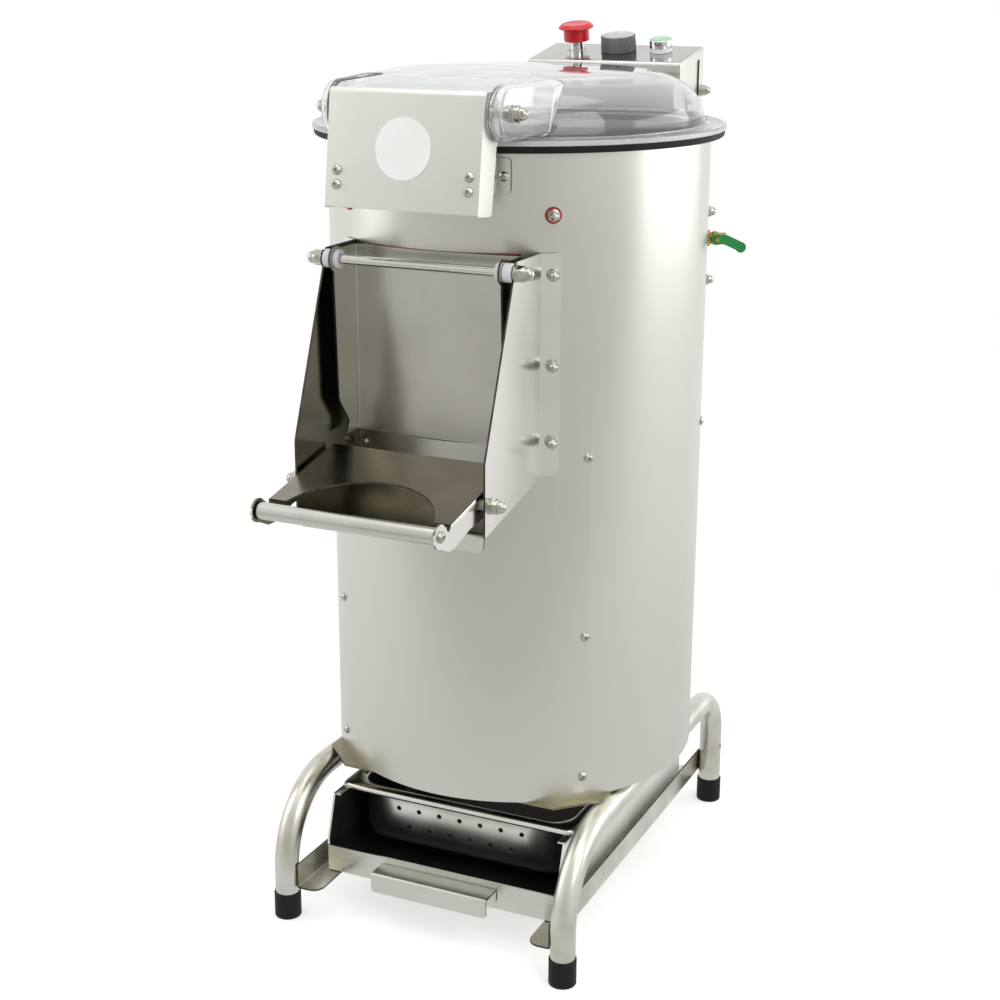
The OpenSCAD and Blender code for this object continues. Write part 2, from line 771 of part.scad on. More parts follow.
// Side cheeks with a curved flange that lies on the drum
module chute_cheeks() {
    color([0.8, 0.8, 0.78]) at_drum() difference() {
        pair() {
            side_plate(cheek_in, sheet) polygon([
                [inside_drum, cheek_top], [ahead(cheek_top_out), cheek_top],
                [ahead(cheek_low_out), cheek_knee_h], [ahead(cheek_low_out), cheek_toe_h],
                [inside_drum, cheek_heel_h],
            ]);
            translate([0, 0, cheek_heel_h]) rotate([0, 0, cheek_az - 0.6])
                rotate_extrude(angle = flange_angle + 0.6)
                    translate([drum_r, 0]) square([sheet, cheek_top - cheek_heel_h]);
        }
        translate([0, 0, cheek_toe_h - 10])
            cylinder(r = drum_r, h = cheek_top - cheek_toe_h + 20, $fn = 128);
        acorn_places() cylinder(d = stud_hole, h = 20, center = true, $fn = 32);
        cheek_holes();
    }
}

// Fixed floor between the cheeks, with a lip turned down at its front
module chute_floor() {
    low = ahead(cheek_low_out);
    color([0.7, 0.7, 0.68]) at_drum() difference() {
        side_plate(-cheek_in, 2 * cheek_in) polygon([
            [inside_drum, cheek_heel_h + sheet], [low + sheet, cheek_toe_h + sheet],
            [low - 1, cheek_toe_h - floor_lip], [low - 1 + sheet, cheek_toe_h - floor_lip],
            [low + 2 * sheet, cheek_toe_h], [inside_drum, cheek_heel_h],
        ]);
        translate([0, 0, cheek_toe_h - 30]) cylinder(r = drum_r, h = 100, $fn = 128);
    }
}

module hinge_rod() {
    color("silver") at_drum() at_rod() rotate([0, 90, 0])
        cylinder(r = rod_r, h = 2 * (cheek_x + rod_over), center = true);
}

module rod_bushings() {
    color([0.82, 0.85, 0.92]) at_drum() pair() at_rod() rotate([0, 90, 0]) {
        translate([0, 0, arm_x + fit]) ring(bushing_r, rod_r + running / 5, cheek_in - arm_x - fit);
        translate([0, 0, arm_x - sheet - fit - bushing_end])
            ring(bushing_r, rod_r + running / 5, bushing_end);
    }
}

module rod_nuts() {
    color("gainsboro") at_drum() pair() at_rod() rotate([0, 90, 0])
        translate([0, 0, cheek_x]) difference() {
            union() {
                cylinder(d = 1.08 * rod_nut, h = washer);
                translate([0, 0, washer]) cylinder(d = rod_nut, h = rod_over - 2 - washer, $fn = 6);
                translate([0, 0, rod_over]) cylinder(d = 0.81 * rod_nut, h = 2);
                translate([0, 0, rod_over - 6]) cylinder(d = rod_nut, h = 6, $fn = 6);
                translate([0, 0, rod_over + 2]) sphere(d = 0.81 * rod_nut);
            }
            translate([0, 0, -1]) cylinder(r = rod_r + running / 5, h = rod_over + 1 + running);
        }
}

// The door's face bows forward between its two fold lines
bow_r = (pow(arm_x - 1, 2) + pow(door_bow, 2)) / (2 * door_bow);
door_edge = ahead(-door_fold);

module door_face(grow) {
    intersection() {
        translate([0, door_edge - door_bow + bow_r]) circle(r = bow_r + grow, $fn = 256);
        translate([-arm_x, door_edge - 2 * door_bow]) square([2 * arm_x, 3 * door_bow]);
    }
}

module discharge_door() {
    arm_h = door_top - door_bottom;
    color([0.74, 0.74, 0.72]) at_drum() difference() {
        union() {
            translate([0, 0, door_bottom]) linear_extrude(arm_h) intersection() {
                difference() {
                    door_face(0);
                    translate([0, sheet]) door_face(0);
                }
                translate([-arm_x, door_edge - door_bow - 1]) square([2 * arm_x, door_bow + 2]);
            }
            pair() side_plate(arm_x - sheet, sheet) {
                translate([ahead(rod_out), rod_h]) circle(r = 12);
                polygon([
                    [door_edge + 1, door_top], [ahead(rod_out - 6), door_top],
                    [ahead(rod_out + 5), rod_h - 10], [ahead(rod_out), door_bottom + 36],
                    [ahead(13), door_bottom + 12], [ahead(17.7), door_bottom], [door_edge + 1, door_bottom],
                ]);
            }
        }
        at_rod() x_hole(rod_r + running);
    }
}

// Rubber frame between the door's face and the drum's window
module door_gasket() {
    w = window_w / 2 - 1;
    color([0.12, 0.1, 0.1]) at_drum() difference() {
        translate([0, 0, door_bottom]) linear_extrude(door_top - door_bottom) difference() {
            translate([-w, door_edge - door_bow]) square([2 * w, drum_r]);
            circle(r = drum_r + gap, $fn = 256);
            difference() {
                translate([-drum_r, door_edge - 3 * door_bow]) square([2 * drum_r, 3 * door_bow + 30]);
                translate([0, door_edge - door_bow + bow_r + sheet]) circle(r = bow_r, $fn = 256);
            }
        }
        translate([-w + gasket_w, -drum_r - 20, door_bottom + gasket_w])
            cube([2 * (w - gasket_w), drum_r, door_top - door_bottom - 2 * gasket_w]);
    }
}

// Height of the tray's plate at u behind the pivot
function plate_v(u) = plate_rise + tray_slope * u;

// Tipping tray: a sloped plate, two flanges and a hand cut-out
module chute_tray() {
    color([0.72, 0.71, 0.68]) at_drum() at_pivot() difference() {
        union() {
            side_plate(-tray_out_x, 2 * tray_out_x) polygon([
                [tray_back, plate_v(tray_back)], [-tray_fore, plate_v(-tray_fore)],
                [-tray_fore, plate_v(-tray_fore) - sheet], [tray_back, plate_v(tray_back) - sheet],
            ]);
            pair() side_plate(tray_out_x - sheet, sheet) {
                circle(r = pivot_r + 7.4);
                translate([-bar_reach, -bar_drop]) circle(r = nose_r);
                polygon([
                    [tray_back, plate_v(tray_back)], [-tray_fore, plate_v(-tray_fore)],
                    [-bar_reach, -bar_drop + 6],
                    [-bar_reach, -bar_drop - nose_r], [-71.8, -22.4], [-61.4, -22.7], [-29.4, -14],
                    [2, -pivot_r - 7.2], [pivot_r + 7, 0], [tray_back, plate_v(tray_back) - 7],
                ]);
            }
        }
        translate([0, -bar_reach, -40]) cylinder(r = cutout_r, h = 80, $fn = 128);
        translate([0, -tray_fore - 5.3, -0.2]) x_hole(4);
        x_hole(pivot_r + running);
        translate([0, -bar_reach, -bar_drop]) x_hole(bar_bore_r);
    }
}

module at_bar() {
    at_drum() at_pivot() translate([0, -bar_reach, -bar_drop]) rotate([0, 90, 0]) children();
}

module tray_bar() {
    half = tray_out_x - sheet - ring_t;
    color("silver") at_bar() difference() {
        cylinder(r = bar_r, h = 2 * half, center = true);
        cylinder(r = bar_bore_r, h = 2 * half + 2, center = true);
    }
}

module bar_rings() {
    color([0.08, 0.08, 0.08]) at_bar() for (side = [0, 180])
        rotate([side, 0, 0]) translate([0, 0, tray_out_x - sheet - ring_t])
            ring(bar_r + 0.3, bar_bore_r, ring_t);
}

module bar_screws() {
    color("gainsboro") at_bar() for (side = [0, 180]) rotate([side, 0, 0]) translate([0, 0, tray_out_x])
        button_screw(11, 6, sheet + ring_t + 25);
}

// Bolt through the tray's flange, a spacer and the cheek, with an acorn nut
module pivot_bolts() {
    color("gainsboro") at_drum() at_pivot() pair() rotate([0, 90, 0]) {
        translate([0, 0, tray_out_x - sheet - fit - 4]) cylinder(r = pivot_r + 2.5, h = 4);
        translate([0, 0, tray_out_x - sheet - fit - 1])
            cylinder(r = pivot_r, h = cheek_x - tray_out_x + sheet + 6);
        translate([0, 0, tray_out_x + fit]) cylinder(r = pivot_r + 2.5, h = cheek_in - tray_out_x - fit);
        translate([0, 0, cheek_x]) acorn_nut(13, pivot_d - 0.4, 2);
    }
}

// --------------------------------------------------- hinge cover and lid

module at_hinge() { translate([0, ahead(hinge_out), hinge_h]) children(); }

// Reach of the cover's front face at a height, and a strip behind it
function cover_out(z) = cover_out_top + (cover_top - z) * tan(cover_tilt);

module cover_strip(z1, z0, depth, t) {
    polygon([
        [ahead(cover_out(z1) - depth), z1], [ahead(cover_out(z0) - depth), z0],
        [ahead(cover_out(z0) - depth - t), z0], [ahead(cover_out(z1) - depth - t), z1],
    ]);
}

cover_screw_h = [-16.4, -28.9];
cover_screw_x = 65.5;
badge_h = 4.5;
tab_az = -acos(cover_screw_x / drum_r);
tab_screw_h = -22.8;

// Local +Z is square to the cover's front face
module on_cover(h) { translate([0, ahead(cover_out(h)), h]) rotate([90 - cover_tilt, 0, 0]) children(); }

// Screws that hold the bracket's tabs on the drum
module tab_screw_places() {
    pair() radial(tab_az, tab_screw_h) translate([0, 0, drum_r + sheet]) children();
}

module cover_screw_places() {
    for (h = cover_screw_h) translate([cover_screw_x, 0, 0]) on_cover(h) children();
}

// Two Z-shaped arms that carry the cover in front of the drum
module hinge_bracket() {
    color("silver") at_rim() difference() {
        pair() {
            side_plate(bracket_x, sheet) polygon([
                [inside_drum, bracket_top], [ahead(cover_out(bracket_top) - sheet - 0.5), bracket_top],
                [ahead(cover_out(bracket_bottom) - sheet - 0.5), bracket_bottom],
                [inside_drum, bracket_bottom],
            ]);
            side_plate(bracket_x, 15) cover_strip(bracket_top, bracket_bottom, sheet, sheet);
            translate([0, 0, bracket_bottom]) linear_extrude(bracket_top - bracket_bottom) intersection() {
                difference() {
                    circle(r = drum_r + sheet, $fn = 128);
                    circle(r = drum_r, $fn = 128);
                }
                translate([bracket_x, -drum_r - 5]) square([14, drum_r]);
            }
        }
        translate([0, 0, -100]) cylinder(r = drum_r, h = 200, $fn = 128);
        pair() cover_screw_places() cylinder(d = screw_hole, h = 20, center = true, $fn = 32);
        tab_screw_places() cylinder(d = screw_hole, h = 20, center = true, $fn = 32);
    }
}

// Bent cover: front plate, rounded top return and two side flanges with
// lugs that hold the lid's hinge bolts
module hinge_cover() {
    color([0.83, 0.82, 0.79]) at_rim() difference() {
        union() {
            side_plate(-cover_x, 2 * cover_x) {
                cover_strip(cover_top - 3, cover_bottom, 0, sheet);
                polygon([
                    [ahead(cover_out(cover_top - 3)), cover_top - 3], [ahead(cover_out_top - 3), cover_top],
                    [ahead(return_out), cover_top - 0.5], [ahead(return_out), cover_top - 0.5 - sheet],
                    [ahead(cover_out(cover_top - 4) - sheet), cover_top - sheet - 1],
                    [ahead(cover_out(cover_top - 4) - sheet), cover_top - 4],
                ]);
            }
            pair() side_plate(cover_x - sheet, sheet) {
                translate([ahead(hinge_out), hinge_h]) circle(r = lug_r);
                polygon([
                    [ahead(cover_out_top - 3), cover_top], [ahead(cover_out(cover_top - 3)), cover_top - 3],
                    [ahead(cover_out_bottom), cover_bottom],
                    [ahead(cover_out_bottom - 28.4), cover_bottom - 2.7], [ahead(hinge_out + 3), lid_h - 1.5],
                    [ahead(hinge_out - 11), hinge_h - 6], [ahead(hinge_out), hinge_h + lug_r],
                    [ahead(return_out), cover_top - 0.5],
                ]);
            }
        }
        pair() cover_screw_places() cylinder(d = screw_hole, h = 20, center = true, $fn = 32);
        at_hinge() x_hole(hinge_bolt_r + running);
    }
}

module cover_screws() {
    color("gainsboro") at_rim() {
        pair() cover_screw_places() button_screw(screw_head, screw_d, 2 * sheet + 3);
        tab_screw_places() button_screw(screw_head, screw_d, sheet + drum_wall + 2);
    }
}

// Plain round badge
module cover_badge() {
    color("white") at_rim() on_cover(badge_h) cylinder(d = badge_d, h = 0.6);
}

// Half of the lid's outer form, or of its hollow, as [radius, height]
function dome_arc(rx, rz, base) = [
    for (a = [0 : 7.5 : 90]) [dome_r - dome_round + rx * cos(a), base + rz * sin(a)],
];

module lid_form() {
    base = flange_t + shoulder;
    polygon(concat(
        [[0, 0], [lid_r - lip_t, 0], [lid_r - lip_t, -lip_drop], [lid_r, -lip_drop]],
        [[lid_r, flange_t], [dome_r + 3.5, flange_t]],
        dome_arc(dome_round, dome_h - base, base),
        [[0.6 * (dome_r - dome_round), dome_h + 0.75 * crown_h], [0, dome_h + crown_h]]
    ));
}

module lid_hollow() {
    base = flange_t + shoulder;
    polygon(concat(
        [[0, -1], [dome_r - lid_t, -1]],
        dome_arc(dome_round - lid_t, dome_h - base - lid_t, base),
        [[0.6 * (dome_r - dome_round), dome_h + 0.75 * crown_h - lid_t], [0, dome_h + crown_h - lid_t]]
    ));
}

ear_in = cover_x + 1;
ear_out = ear_in + 12;

// Hinge ears: they widen towards the dome
module lid_ear() {
    intersection() {
        side_plate(ear_in, 40) {
            translate([ahead(hinge_out), hinge_h]) circle(r = ear_r);
            polygon([
                [ahead(hinge_out), hinge_h + ear_r], [ahead(hinge_out + 8), hinge_h - ear_r + 1.4],
                [ahead(hinge_out - 10), lid_h], [ahead(-60), lid_h], [ahead(-60), hinge_h + 20],
                [ahead(-20), hinge_h + ear_r - 1],
            ]);
        }
        translate([0, 0, lid_h]) linear_extrude(dome_h + 10) polygon([
            [ear_in, ahead(60)], [ear_out, ahead(60)], [ear_out, ahead(hinge_out - 11)],
            [ear_out + 16, ahead(-30)], [ear_out + 16, ahead(-60)], [ear_in, ahead(-60)],
        ]);
    }
}

module lid() {
    color([0.85, 0.9, 0.92], 0.35) at_rim() difference() {
        union() {
            translate([0, 0, lid_h]) rotate_extrude($fn = 128) lid_form();
            pair() lid_ear();
        }
        translate([0, 0, lid_h]) rotate_extrude($fn = 128) lid_hollow();
        at_hinge() x_hole(hinge_bolt_r + running);
    }
}

module lid_seal() {
    color([0.07, 0.07, 0.07]) at_rim() rotate_extrude($fn = 128) polygon([
        [dome_r - lid_t + 1, fit], [dome_r - lid_t + 1, lid_h], [seal_r, lid_h],
        [seal_r, seal_bead], [seal_r - 2, -seal_bead], [seal_r - bead_w, -seal_bead], [seal_r - bead_w, fit],
    ]);
}

module lid_hinge_bolts() {
    color("gainsboro") at_rim() pair() at_hinge() rotate([0, 90, 0]) {
        translate([0, 0, cover_x - sheet - 4.5]) cylinder(d = 14, h = 4.5, $fn = 6);
        translate([0, 0, cover_x - sheet - 1])
            cylinder(r = hinge_bolt_r, h = ear_out - cover_x + sheet + 4);
        translate([0, 0, ear_out + gap]) acorn_nut(13, 2 * hinge_bolt_r - 0.4, 1);
    }
}

// --------------------------------------------------------------- controls

// Local +Z is square to the panel, from the panel's top face
module at_panel(x) {
    at_rim() translate([x, behind(control_out), control_h]) rotate([panel_tilt, 0, 0]) children();
}

// Sheet cover: sloped top, short front lip, back, and sides that run back
// along the top and down the rear as a strap
module control_panel() {
    depth = panel_far - panel_near;
    color([0.7, 0.7, 0.68]) difference() {
        at_rim() {
            side_plate(-box_x, box_w) polygon([
                [behind(panel_near), panel_h], [behind(panel_far), far_h], [behind(panel_far), strap_bottom],
                [behind(panel_far - panel_t), strap_bottom],
                [behind(panel_far - panel_t), far_h - 1.2 * panel_t],
                [behind(panel_near + panel_t), panel_h - 0.8 * panel_t],
                [behind(panel_near + panel_t), panel_h - panel_lip],
                [behind(panel_near), panel_h - panel_lip],
            ]);
            pair() side_plate(box_x - panel_t, panel_t) polygon([
                [behind(panel_near), panel_h], [behind(panel_far), far_h], [behind(panel_far), strap_bottom],
                [behind(panel_far - strap), strap_bottom],
                [behind(panel_far - strap), far_h - panel_lip - strap * tan(panel_tilt)],
                [behind(panel_near), panel_h - panel_lip],
            ]);
        }
        for (x = control_x) at_panel(x) translate([0, 0, -8]) cylinder(r = panel_hole_r, h = 16);
        at_rim() panel_bolt_places() cylinder(d = stud_hole, h = 12, center = true);
    }
}

panel_bolt_h = 23.6;

module panel_bolt_places() {
    pair() translate([box_x, behind(panel_far - strap / 2), panel_bolt_h]) rotate([0, 90, 0]) children();
}

module panel_bolts() {
    color("gainsboro") at_rim() panel_bolt_places() acorn_nut(stud_nut, stud_d, 2 * stud_d);
}

// Lower half of the control box, under the panel
module control_box() {
    x = box_x - panel_t - fit;
    color([0.76, 0.76, 0.74]) difference() {
        at_rim() difference() {
            side_plate(-x, 2 * x) polygon([
                [behind(box_near), box_bottom], [behind(panel_far - panel_t - fit), box_bottom],
                [behind(panel_far - panel_t - fit), far_h - 8], [behind(box_near), panel_h - 4],
            ]);
            side_plate(-x + panel_t, 2 * (x - panel_t)) polygon([
                [behind(box_near + panel_t), box_bottom + panel_t],
                [behind(panel_far - 2 * panel_t - fit), box_bottom + panel_t],
                [behind(panel_far - 2 * panel_t - fit), far_h + 20], [behind(box_near + panel_t), far_h + 20],
            ]);
            panel_bolt_places() cylinder(d = stud_hole, h = 30, center = true);
            translate([0, behind(conduit_out), box_bottom - 1]) {
                translate([conduit_x, 0, 0]) cylinder(r = conduit_r + 0.5, h = 10);
                translate([gland_x, 0, 0]) cylinder(r = gland_r + 0.2, h = 10);
            }
        }
    }
}

conduit_out = 62;
gland_x = 40;
gland_r = 8;
gusset_x = 62;
gusset_low = -95;

// Gussets that carry the control box on the drum's rear
module control_bracket() {
    color("silver") at_rim() difference() {
        pair() {
            side_plate(gusset_x, sheet) polygon([
                [-inside_drum, gusset_low], [behind(14), gusset_low], [behind(box_far), box_bottom - 20],
                [behind(box_far), box_bottom - fit], [-inside_drum, box_bottom - fit],
            ]);
            translate([gusset_x, behind(box_near), box_bottom - fit - sheet])
                cube([16, box_far - box_near, sheet]);
            translate([0, 0, gusset_low]) linear_extrude(box_bottom - fit - gusset_low) intersection() {
                difference() {
                    circle(r = drum_r + sheet, $fn = 128);
                    circle(r = drum_r, $fn = 128);
                }
                translate([gusset_x, 0]) square([16, drum_r + 5]);
            }
        }
        translate([0, 0, -200]) cylinder(r = drum_r, h = 400, $fn = 128);
    }
}

// Bodies of the three controls, hanging under the panel
module switch_bodies() {
    color([0.85, 0.85, 0.82]) for (x = control_x) at_panel(x)
        translate([-14, -17, -32]) cube([28, 34, 20]);
    color([0.85, 0.85, 0.82]) for (x = control_x) at_panel(x)
        translate([0, 0, -12.01]) difference() {
            cylinder(r = panel_hole_r - fit, h = 12);
            translate([0, 0, -1]) cylinder(r = 7, h = 14);
        }
}

stem_r = 6;
collar_r = 8.5;
collar_h = 10.2;
neck_r = 14.2;
start_r = 9.5;
bezel_h = 14;

// Bezels that clamp the emergency stop and the start button to the panel
module button_collars() {
    color("gainsboro") {
        at_panel(-control_pitch) ring(collar_r, stem_r + gap, collar_h);
        at_panel(control_pitch) ring(start_r + 3.1, start_r + gap, bezel_h);
    }
}

// Mushroom head with a hollow neck that goes down over its collar
module estop_button() {
    r = estop_d / 2;
    neck_h = 12.6;
    color([0.82, 0.1, 0.12]) at_panel(-control_pitch) difference() {
        union() {
            translate([0, 0, -6]) cylinder(r = stem_r, h = collar_h + neck_h);
            translate([0, 0, collar_h]) cylinder(r = neck_r, h = neck_h);
            translate([0, 0, collar_h + neck_h - 0.5]) cylinder(r1 = neck_r, r2 = r, h = 2);
            translate([0, 0, collar_h + neck_h + 1.5]) cylinder(r = r, h = 1.4);
            translate([0, 0, collar_h + neck_h + 2.9]) cylinder(r1 = r, r2 = r - 4, h = 3.8);
        }
        translate([0, 0, collar_h - 1]) ring(collar_r + gap, stem_r, estop_travel + 3);
    }
}

module timer_knob() {
    r = knob_d / 2;
    color([0.35, 0.36, 0.38]) at_panel(0) {
        translate([0, 0, gap]) cylinder(r = r, h = knob_h - 2);
        translate([0, 0, gap + knob_h - 2]) cylinder(r1 = r, r2 = r - 2, h = 2);
        translate([0, 0, -10]) cylinder(r = 3, h = 11);
    }
}

module start_button() {
    color([0.55, 0.8, 0.6]) at_panel(control_pitch) {
        translate([0, 0, start_travel + 1]) cylinder(r = start_r, h = bezel_h - start_travel);
        translate([0, 0, -9]) cylinder(r = 4, h = 12);
    }
}

module cable_gland() {
    color([0.12, 0.12, 0.12]) at_rim() translate([gland_x, behind(conduit_out), box_bottom]) difference() {
        union() {
            translate([0, 0, -6]) cylinder(d = 24, h = 6 - fit, $fn = 6);
            translate([0, 0, -20]) cylinder(r1 = 7, r2 = 10, h = 14);
            translate([0, 0, -1]) cylinder(r = gland_r, h = 8);
        }
        translate([0, 0, -21]) cylinder(r = 4, h = 30);
    }
}

// Wiring pipe from the control box down into the motor room
module wiring_conduit() {
    bend = 30;
    out = behind(conduit_out);
    color([0.15, 0.15, 0.15]) at_drum() translate([conduit_x, 0, 0]) {
        translate([0, out, conduit_h + bend])
            ring(conduit_r, conduit_r - 1.5, rim_h + box_bottom + 6 - conduit_h - bend);
        translate([0, out - bend, conduit_h + bend]) rotate([90, 0, 90]) rotate([0, 0, -90])
            rotate_extrude(angle = 90) translate([bend, 0]) difference() {
                circle(r = conduit_r);
                circle(r = conduit_r - 1.5);
            }
        translate([0, drum_r - 12, conduit_h]) rotate([-90, 0, 0])
            ring(conduit_r, conduit_r - 1.5, out - bend - drum_r + 12);
    }
}

// ------------------------------------------------------------ water inlet

stem_rho = 13;                    // lever stem ahead of the drum's wall
lever_t = 2.8;

// Water valve: hexagon on the wall, ball housing and inner spray nozzle
module inlet_valve() {
    color([0.72, 0.6, 0.3]) at_drum() radial(valve_az, valve_h) translate([0, 0, drum_r]) difference() {
        union() {
            cylinder(d = 18, h = 1.5);
            translate([0, 0, 1.5]) cylinder(d = 17, h = 6, $fn = 6);
            cylinder(r = 5.4, h = 24);
            translate([0, 0, stem_rho]) sphere(r = 7);
            translate([0, 0, -14]) cylinder(r = 6, h = 15);
            translate([0, 0, -drum_wall - 5 - gap]) cylinder(d = 17, h = 5, $fn = 6);
            translate([0, 0, stem_rho]) rotate([90, 0, 0]) cylinder(r = 2.5, h = 13);
        }
        translate([0, 0, -15]) cylinder(r = 2.5, h = 45);
    }
}

// Flat lever on the valve's stem, bent down towards its tip
module valve_lever() {
    color([0.05, 0.5, 0.2]) at_drum() radial(valve_az, valve_h)
        translate([0, -8.5, drum_r + stem_rho]) rotate([90, 0, 0]) difference() {
            union() {
                cylinder(r = 5.6, h = lever_t);
                linear_extrude(lever_t) polygon([[-5, 0], [-5, 9], [3.4, 27], [13.2, 25], [5, 7], [5, 0]]);
                translate([8.4, 25, 0]) cylinder(r = 5.4, h = lever_t);
            }
            translate([0, 0, -1]) cylinder(r = 2.5 + running, h = lever_t + 2);
        }
}

left_leg_frame();
right_leg_frame();
cross_plates();
tray_rails();
foot_caps();
frame_bolts();
base_plate();
drum_shell();
drum_screws();
acorn_nuts();
motor_plate();
motor_body();
motor_rotor();
motor_pulley();
drive_belt();
disc_pulley();
main_shaft();
bearing_housing();
bearings();
shaft_seal();
chamber_floor();
waste_pipe();
abrasive_disc();
disc_cap();
wall_liner();
peel_tray();
tray_handle();
strainer_pan();
chute_cheeks();
chute_floor();
hinge_rod();
rod_bushings();
rod_nuts();
discharge_door();
door_gasket();
chute_tray();
tray_bar();
bar_rings();
bar_screws();
pivot_bolts();
hinge_bracket();
hinge_cover();
cover_screws();
cover_badge();
lid();
lid_seal();
lid_hinge_bolts();
control_bracket();
control_box();
control_panel();
panel_bolts();
switch_bodies();
button_collars();
estop_button();
timer_knob();
start_button();
cable_gland();
wiring_conduit();
inlet_valve();
valve_lever();
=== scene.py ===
"""Looks of an electric potato peeler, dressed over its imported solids.

Lengths are in metres unless a name ends in _mm. The drum's axis stands at X = 0 and
Y = AXIS_Y, the chute faces -Y, and +Z is up.
"""
from __future__ import annotations

import json
import logging
import math
from dataclasses import dataclass, field
from enum import Enum
from typing import Iterable, Optional, Sequence, Union

import bmesh
import bpy
from mathutils import Matrix, Vector


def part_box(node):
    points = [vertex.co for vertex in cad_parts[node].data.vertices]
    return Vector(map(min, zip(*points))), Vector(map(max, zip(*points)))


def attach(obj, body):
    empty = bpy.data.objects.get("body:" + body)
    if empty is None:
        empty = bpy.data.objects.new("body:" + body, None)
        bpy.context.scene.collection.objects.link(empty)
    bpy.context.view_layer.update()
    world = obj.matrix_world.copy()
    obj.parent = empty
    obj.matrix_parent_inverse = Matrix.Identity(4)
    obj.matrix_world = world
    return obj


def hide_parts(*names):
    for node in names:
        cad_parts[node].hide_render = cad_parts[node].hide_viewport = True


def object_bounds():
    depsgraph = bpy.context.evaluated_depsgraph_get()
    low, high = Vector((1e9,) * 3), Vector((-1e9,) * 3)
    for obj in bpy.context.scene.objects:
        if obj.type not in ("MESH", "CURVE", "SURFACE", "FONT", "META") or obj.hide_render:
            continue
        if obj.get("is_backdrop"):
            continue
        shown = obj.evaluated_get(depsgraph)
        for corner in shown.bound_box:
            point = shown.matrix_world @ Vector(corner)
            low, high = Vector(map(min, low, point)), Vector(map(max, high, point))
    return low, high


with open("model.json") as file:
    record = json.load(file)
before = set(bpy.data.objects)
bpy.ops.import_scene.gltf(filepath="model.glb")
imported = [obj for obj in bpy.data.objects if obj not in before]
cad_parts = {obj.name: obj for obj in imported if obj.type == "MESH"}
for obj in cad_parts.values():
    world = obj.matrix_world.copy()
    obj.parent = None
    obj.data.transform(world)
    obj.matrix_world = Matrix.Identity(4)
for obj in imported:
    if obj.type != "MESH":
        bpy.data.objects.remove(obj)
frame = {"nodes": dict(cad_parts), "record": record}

LOG = logging.getLogger("peeler")
MM = 0.001

# The drum: its axis, its top edge's height and its outer radius
AXIS_Y = 0.0357
DRUM_RIM = 0.7934
DRUM_R = 0.190

# Width of the softened edges of thin sheet
SHEET_EDGE = 0.0003
# Corners nearer than this to each other are one
WELD = 1e-6
# Material numbers of a sheet part: its own finish, its cut edges, its second finish
MAIN, CUT, SECOND = 0, 1, 2
WHITE = (1.0, 1.0, 1.0, 1.0)

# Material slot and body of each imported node
SLOTS: dict[str, str] = {row["node"]: row["material_slot"] for row in frame["record"]["subparts"]}
BODIES: dict[str, str] = {
    node: body for body, nodes in frame["record"]["behaviour"]["bodies"].items() for node in nodes
}

Mesh = bmesh.types.BMesh
Vert, Edge, Face = bmesh.types.BMVert, bmesh.types.BMEdge, bmesh.types.BMFace
Tree = bpy.types.NodeTree
Socket = bpy.types.NodeSocket
Value = Union[float, Sequence[float], Socket]
Outline = Sequence[tuple[float, float]]
Rounding = Optional[dict[int, float]]


# ---------------------------------------------------------------- materials


def linear(hex_code: str) -> tuple[float, float, float, float]:
    """Turns an sRGB hex colour into the linear one that a shader takes.

    Args:
        hex_code: Six hex digits, red first.

    Returns:
        Red, green, blue and an alpha of 1.
    """
    parts = [int(hex_code[i : i + 2], 16) / 255 for i in (0, 2, 4)]
    return (*[c / 12.92 if c <= 0.04045 else ((c + 0.055) / 1.055) ** 2.4 for c in parts], 1.0)


def add(
    tree: Tree, kind: str, inputs: dict[Union[str, int], Value], **settings: object,
) -> bpy.types.Node:
    """Adds a node with its settings, constants and links.

    Args:
        tree: The node tree that gets the node.
        kind: The node's type, without the ShaderNode prefix.
        inputs: Sockets by name or number, each with a constant or the socket to link.
        **settings: Properties of the node itself.

    Returns:
        The new node.
    """
    node = tree.nodes.new("ShaderNode" + kind)
    for name, value in settings.items():
        setattr(node, name, value)
    for key, value in inputs.items():
        socket = node.inputs[key]
        if isinstance(value, bpy.types.NodeSocket):
            tree.links.new(value, socket)
        else:
            socket.default_value = value
    return node


def ramp(
    tree: Tree, factor: Socket, stops: Sequence[tuple[float, Sequence[float]]],
) -> Socket:
    """Adds a colour ramp.

    Args:
        tree: The node tree.
        factor: What the ramp reads.
        stops: Places from 0 to 1, each with its colour.

    Returns:
        The ramp's colour.
    """
    node = add(tree, "ValToRGB", {"Fac": factor})
    elements = node.color_ramp.elements
    while len(elements) < len(stops):
        elements.new(0.5)
    for element, (place, colour) in zip(elements, stops):
        element.position = place
        element.color = colour
    return node.outputs["Color"]


class Grain(Enum):
    """Direction of the polishing lines, as how fast a pattern changes along X, Y and Z."""

    ALONG_X = (0.03, 1.0, 1.0)
    UPRIGHT = (1.0, 1.0, 0.03)
    AROUND = (0.02, 0.02, 1.0)
    NONE = (1.0, 1.0, 1.0)


